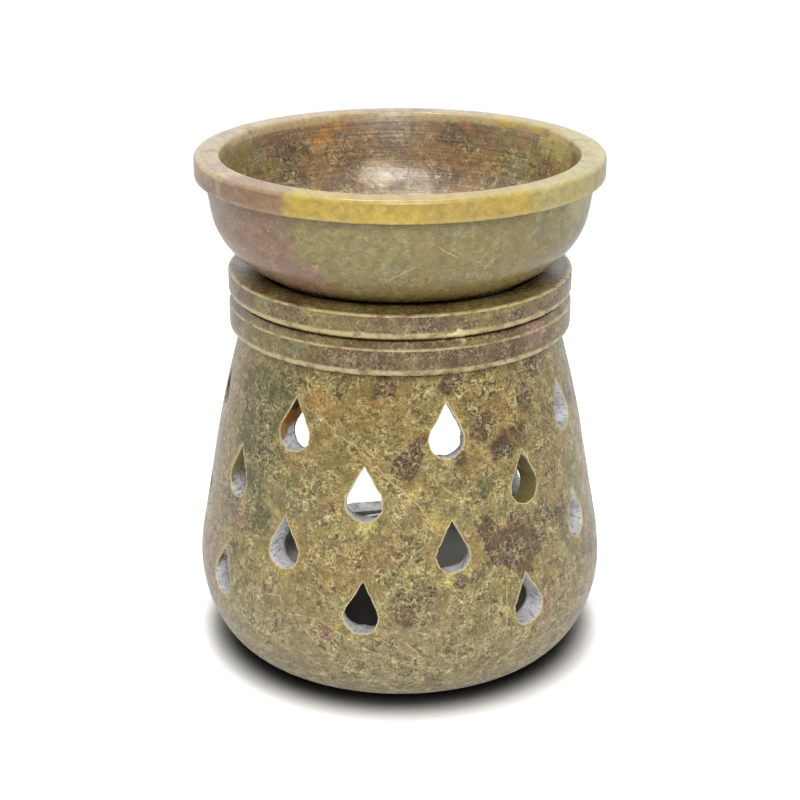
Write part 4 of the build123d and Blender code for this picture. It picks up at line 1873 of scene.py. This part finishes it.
@dataclass
class Tealight:
    """The candle: a pressed cup, its wax, a plaited wick and the tin that holds the wick up."""

    cup_radius: float = 19.0 * MM
    cup_wall: float = 0.4 * MM
    cup_taper: float = 0.5 * MM
    rim_width: float = 0.7 * MM
    base_step: float = 0.5 * MM
    wax_height: float = 12.4 * MM
    wax_dip: float = 0.5 * MM
    wax_edge_slope_share: float = 0.8
    wick_radius: float = 0.8 * MM
    clearance: float = 0.06 * MM
    sustainer_thickness: float = 0.4 * MM
    neck_height: float = 4.0 * MM
    neck_wall: float = 0.5 * MM
    recess_from: float = 2.6 * MM
    recess_to: float = 5.0 * MM
    recess_slope: float = 0.6 * MM
    recess_lap: float = 0.2 * MM
    outer_fold: float = 0.3 * MM
    inner_fold: float = 0.2 * MM
    foot_fold: float = 0.35 * MM
    rim_neck_fold: float = 0.12 * MM
    rim_fold: float = 0.18 * MM
    strands: int = 4
    strand_turns: float = 5.0
    strand_radius: float = 0.27 * MM
    weave: float = 0.08 * MM
    pocket_edge: float = 2.6 * MM
    pocket_foot: float = 1.9 * MM
    wax_foot: float = 0.3 * MM
    tin_fold: float = 0.1 * MM
    neck_fold: float = 0.12 * MM
    cup_spacing: float = 0.7 * MM
    wax_spacing: float = 0.8 * MM
    tin_spacing: float = 0.5 * MM

    def __post_init__(self) -> None:
        """Reads the candle's place from its solids."""
        lowest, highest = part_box("tealight_cup")
        self.centre = (lowest + highest) / 2
        self.base, self.top = lowest.z, highest.z
        self.floor = self.base + self.cup_wall
        self.surface = Surface(segments=200, unevenness=0.0, chip_depth=0.0)

    def settle(self, piece: bpy.types.Object, node: str) -> bpy.types.Object:
        """Moves a piece from the main axis to the candle's own, and lets it stand for its solid."""
        piece.data.transform(Matrix.Translation((self.centre.x, self.centre.y, 0.0)))
        return carried(piece, node, "tealight")

    def cup(self, turner: Turner) -> bpy.types.Object:
        """Presses the cup: a stepped base, a slightly flared side and a rolled rim.

        Args:
            turner: What turns the outline.

        Returns:
            The cup.
        """
        foot = self.cup_radius - self.cup_taper
        rim = self.cup_radius + self.rim_width
        under_rim = self.top - self.cup_wall
        line = Outline(self.cup_spacing)
        line.add((0.0, self.base))
        start, end, slope, step = self.recess_from, self.recess_to, self.recess_slope, self.base_step
        inner_start, inner_end = start - self.recess_lap, end + self.recess_lap
        line.lines(
            [
                (foot - end, self.base, self.outer_fold),
                (foot - end + slope, self.base + step, self.outer_fold),
                (foot - start - slope, self.base + step, self.outer_fold),
                (foot - start, self.base, self.outer_fold),
                (foot, self.base, self.foot_fold),
                (self.cup_radius, under_rim, self.rim_neck_fold),
                (rim, under_rim, self.rim_fold),
                (rim, self.top, self.rim_fold),
                (self.cup_radius - self.cup_wall, self.top, self.rim_fold),
                (foot - self.cup_wall, self.floor, self.inner_fold),
                (foot - inner_start, self.floor, self.inner_fold),
                (foot - inner_start - slope, self.floor + step, self.inner_fold),
                (foot - inner_end + slope, self.floor + step, self.inner_fold),
                (foot - inner_end, self.floor, self.inner_fold),
                (0.0, self.floor, 0.0),
            ]
        )
        foil = Metal("tealight_aluminium", paint(222, 224, 227), 0.48)
        piece = turner.turn("tealight_foil_cup", line, self.surface, foil.material())
        return self.settle(piece, "tealight_cup")

    def wax(self, turner: Turner) -> bpy.types.Object:
        """Pours the wax: it climbs the cup a little and dips towards the wick.

        Args:
            turner: What turns the outline.

        Returns:
            The wax.
        """
        bore = self.wick_radius + self.clearance
        foot = self.cup_radius - self.cup_taper - self.cup_wall - self.clearance
        height = self.floor + self.wax_height
        side = foot + self.cup_taper * self.wax_height / (self.top - self.base)
        pocket = self.floor + self.base_step + 2 * self.clearance
        neck = bore + self.neck_wall + self.clearance
        line = Outline(self.wax_spacing)
        line.add((bore, height - self.wax_dip))
        line.lines(
            [
                (bore, pocket + self.neck_height, 0.0),
                (neck, pocket + self.neck_height, 0.0),
                (neck, pocket, 0.0),
                (foot - self.pocket_edge, pocket, 0.0),
                (foot - self.pocket_foot, self.floor + self.clearance, 0.0),
                (foot - self.wax_foot, self.floor + self.clearance, 0.0),
                (side, height, 0.0),
            ]
        )
        slope = (-1.0, -self.wax_edge_slope_share)
        line.curve([(bore, height - self.wax_dip)], slope, (-1.0, 0.0))
        surface = Surface(segments=160, unevenness=0.12 * MM, uneven_size=9.0 * MM, chip_depth=0.0)
        piece = turner.turn("tealight_wax_fill", line, surface, Wax().material())
        return self.settle(piece, "tealight_wax")

    def wick(self) -> bpy.types.Object:
        """Plaits the wick.

        Returns:
            The wick.
        """
        lowest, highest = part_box("wick")
        piece = scratch_mesh("plaited_wick", [(0.0, 0.0, 0.0)])
        inputs = {
            "Strands": self.strands,
            "Turns": self.strand_turns,
            "Length": highest.z - lowest.z,
            "Lay Radius": self.wick_radius - self.strand_radius - self.weave,
            "Strand Radius": self.strand_radius,
            "Weave": self.weave,
            "Finish": Cotton().material(),
        }
        grow(piece, wick_tree(), inputs)
        piece.data.transform(Matrix.Translation((0.0, 0.0, lowest.z)))
        return self.settle(piece, "wick")

    def sustainer(self, turner: Turner) -> bpy.types.Object:
        """Presses the tin disc and its neck.

        Args:
            turner: What turns the outline.

        Returns:
            The sustainer.
        """
        lowest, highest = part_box("wick_sustainer")
        disc = highest.x
        bore = self.wick_radius + self.clearance
        neck = bore + self.neck_wall
        upper = lowest.z + self.sustainer_thickness
        line = Outline(self.tin_spacing)
        line.add((bore, highest.z))
        line.lines(
            [
                (bore, upper, 0.0),
                (bore / 2, upper, 0.0),
                (bore / 2, lowest.z, 0.0),
                (disc, lowest.z, self.tin_fold),
                (disc, upper, self.tin_fold),
                (neck, upper, self.tin_fold),
                (neck, highest.z, self.neck_fold),
                (bore, highest.z, 0.0),
            ]
        )
        tin = Metal("tinned_steel", paint(176, 177, 178), 0.42, 0.3 * MM)
        piece = turner.turn("wick_tin", line, self.surface, tin.material())
        return self.settle(piece, "wick_sustainer")

    def build(self, turner: Turner) -> None:
        """Makes the candle's pieces."""
        self.cup(turner)
        self.wax(turner)
        self.wick()
        self.sustainer(turner)


@dataclass(frozen=True)
class Lamp:
    """A round soft lamp that shines at the burner."""

    name: str
    azimuth: float
    elevation: float
    distance: float
    size: float
    power: float
    aim_height: float = 0.05

    def build(self) -> None:
        """Hangs the lamp."""
        data = bpy.data.lights.new(self.name, "AREA")
        data.shape = "DISK"
        data.size = self.size
        data.energy = self.power
        rise = math.radians(self.elevation)
        lamp = bpy.data.objects.new(self.name, data)
        place = around(self.azimuth, self.distance * math.cos(rise), self.distance * math.sin(rise))
        lamp.location = place + Vector((0.0, 0.0, self.aim_height))
        lamp.rotation_euler = Vector((0.0, 0.0, -1.0)).rotation_difference(-place).to_euler()
        bpy.context.scene.collection.objects.link(lamp)


@dataclass(frozen=True)
class Studio:
    """The white studio: a bright surround, two soft lamps, a white floor and the camera."""

    horizon: float = 0.28
    zenith_gain: float = 0.3
    dark_side: float = 0.3
    lamps: tuple[Lamp, ...] = (
        Lamp("overhead_lamp", 180.0, 80.0, 1.15, 0.5, 4.4),
        Lamp("front_softbox", -10.0, 40.0, 1.0, 0.5, 4.7),
    )
    floor_size: float = 6.0
    floor_gain: float = 1.5
    floor_reach: float = 9.5 * MM
    floor_shade: float = 0.02
    shaded_from: float = 0.26
    shaded_to: float = 0.86
    floor_fade: tuple[float, float] = (0.2, 0.42)
    camera_azimuth: float = -14.2
    camera_distance: float = 0.360
    camera_height: float = 0.19224
    camera_pitch: float = 21.04
    lens: float = 78.7

    def build(self) -> None:
        """Sets up the light, the floor and the camera."""
        self.light()
        self.floor()
        self.camera()
        bpy.context.scene.view_settings.view_transform = "Standard"

    def light(self) -> None:
        """Makes the surround, which the camera sees as plain white, and the lamps."""
        world = bpy.data.worlds.new("white_surround")
        world.use_nodes = True
        world.node_tree.nodes.clear()
        graph = Graph(world.node_tree)
        rays = graph.node("ShaderNodeLightPath").outputs
        way = graph.parts(graph.node("ShaderNodeTexCoord").outputs["Generated"])
        dome = graph.span(way["Z"], 0.0, 1.0, self.horizon, self.horizon + self.zenith_gain)
        mirrored = graph.span(way["Y"], -0.6, 0.5, self.dark_side, 1.0)
        level = graph.between(rays["Is Glossy Ray"], dome, mirrored)
        seen = graph.most(rays["Is Camera Ray"], rays["Is Transmission Ray"])
        soft, white = (
            graph.node("ShaderNodeBackground", {"Color": WHITE, "Strength": strength}).outputs[0]
            for strength in (level, 1.0)
        )
        mixed = graph.node("ShaderNodeMixShader", {0: seen, 1: soft, 2: white}).outputs[0]
        graph.node("ShaderNodeOutputWorld", {"Surface": mixed})
        bpy.context.scene.world = world
        for lamp in self.lamps:
            lamp.build()

    def paper(self) -> bpy.types.Material:
        """Wires the floor's material: white where it is lit, darkened near the burner by a painted contact
        shadow read from ambient occlusion, and clear farther out.

        Returns:
            The material.
        """
        graph = FinishGraph("white_paper")
        seen = graph.node("ShaderNodeLightPath").outputs["Is Camera Ray"]
        unlit = graph.node("ShaderNodeBsdfDiffuse", {"Color": (0.8, 0.8, 0.8, 1.0)}).outputs[0]
        feeds = {"Distance": self.floor_reach}
        # Painted contact shadow: the floor's colour falls towards black where ambient occlusion finds the
        # burner close by.
        painted_shadow_ao = graph.node("ShaderNodeAmbientOcclusion", feeds, samples=12).outputs["AO"]
        opened = graph.ramp(painted_shadow_ao, self.shaded_from, self.shaded_to)
        level = graph.span(opened, 0.0, 1.0, self.floor_shade, self.floor_gain)
        shown = graph.node("ShaderNodeBsdfDiffuse", {"Color": graph.grey(level)}).outputs[0]
        far = graph.ramp(graph.vector("LENGTH", graph.at), *self.floor_fade)
        clear = graph.node("ShaderNodeBsdfTransparent").outputs[0]
        faded = graph.node("ShaderNodeMixShader", {0: far, 1: shown, 2: clear}).outputs[0]
        return graph.end(graph.node("ShaderNodeMixShader", {0: seen, 1: unlit, 2: faded}).outputs[0])

    def floor(self) -> None:
        """Lays the floor."""
        half = self.floor_size / 2
        mesh = bpy.data.meshes.new("studio_floor")
        corners = [(-half, -half, 0.0), (half, -half, 0.0), (half, half, 0.0), (-half, half, 0.0)]
        mesh.from_pydata(corners, [], [(0, 1, 2, 3)])
        mesh.materials.append(self.paper())
        floor = bpy.data.objects.new("studio_floor", mesh)
        bpy.context.scene.collection.objects.link(floor)

    def camera(self) -> None:
        """Places the camera, a little to the left of the front and looking down on the burner."""
        data = bpy.data.cameras.new("camera")
        data.lens = self.lens
        data.clip_start = 0.01
        data.clip_end = 20.0
        camera = bpy.data.objects.new("camera", data)
        camera.location = around(self.camera_azimuth, self.camera_distance, self.camera_height)
        tilt = math.radians(90 - self.camera_pitch)
        camera.rotation_euler = (tilt, 0.0, math.radians(self.camera_azimuth))
        bpy.context.scene.collection.objects.link(camera)
        bpy.context.scene.camera = camera


def main() -> None:
    """Builds the burner piece by piece, and the studio round it."""
    logging.basicConfig(level=logging.INFO, format="%(name)s: %(message)s")
    turner = Turner()
    Body().build(turner)
    Bowl().build(turner)
    Tealight().build(turner)
    Studio().build()


if __name__ == "__main__":
    main()
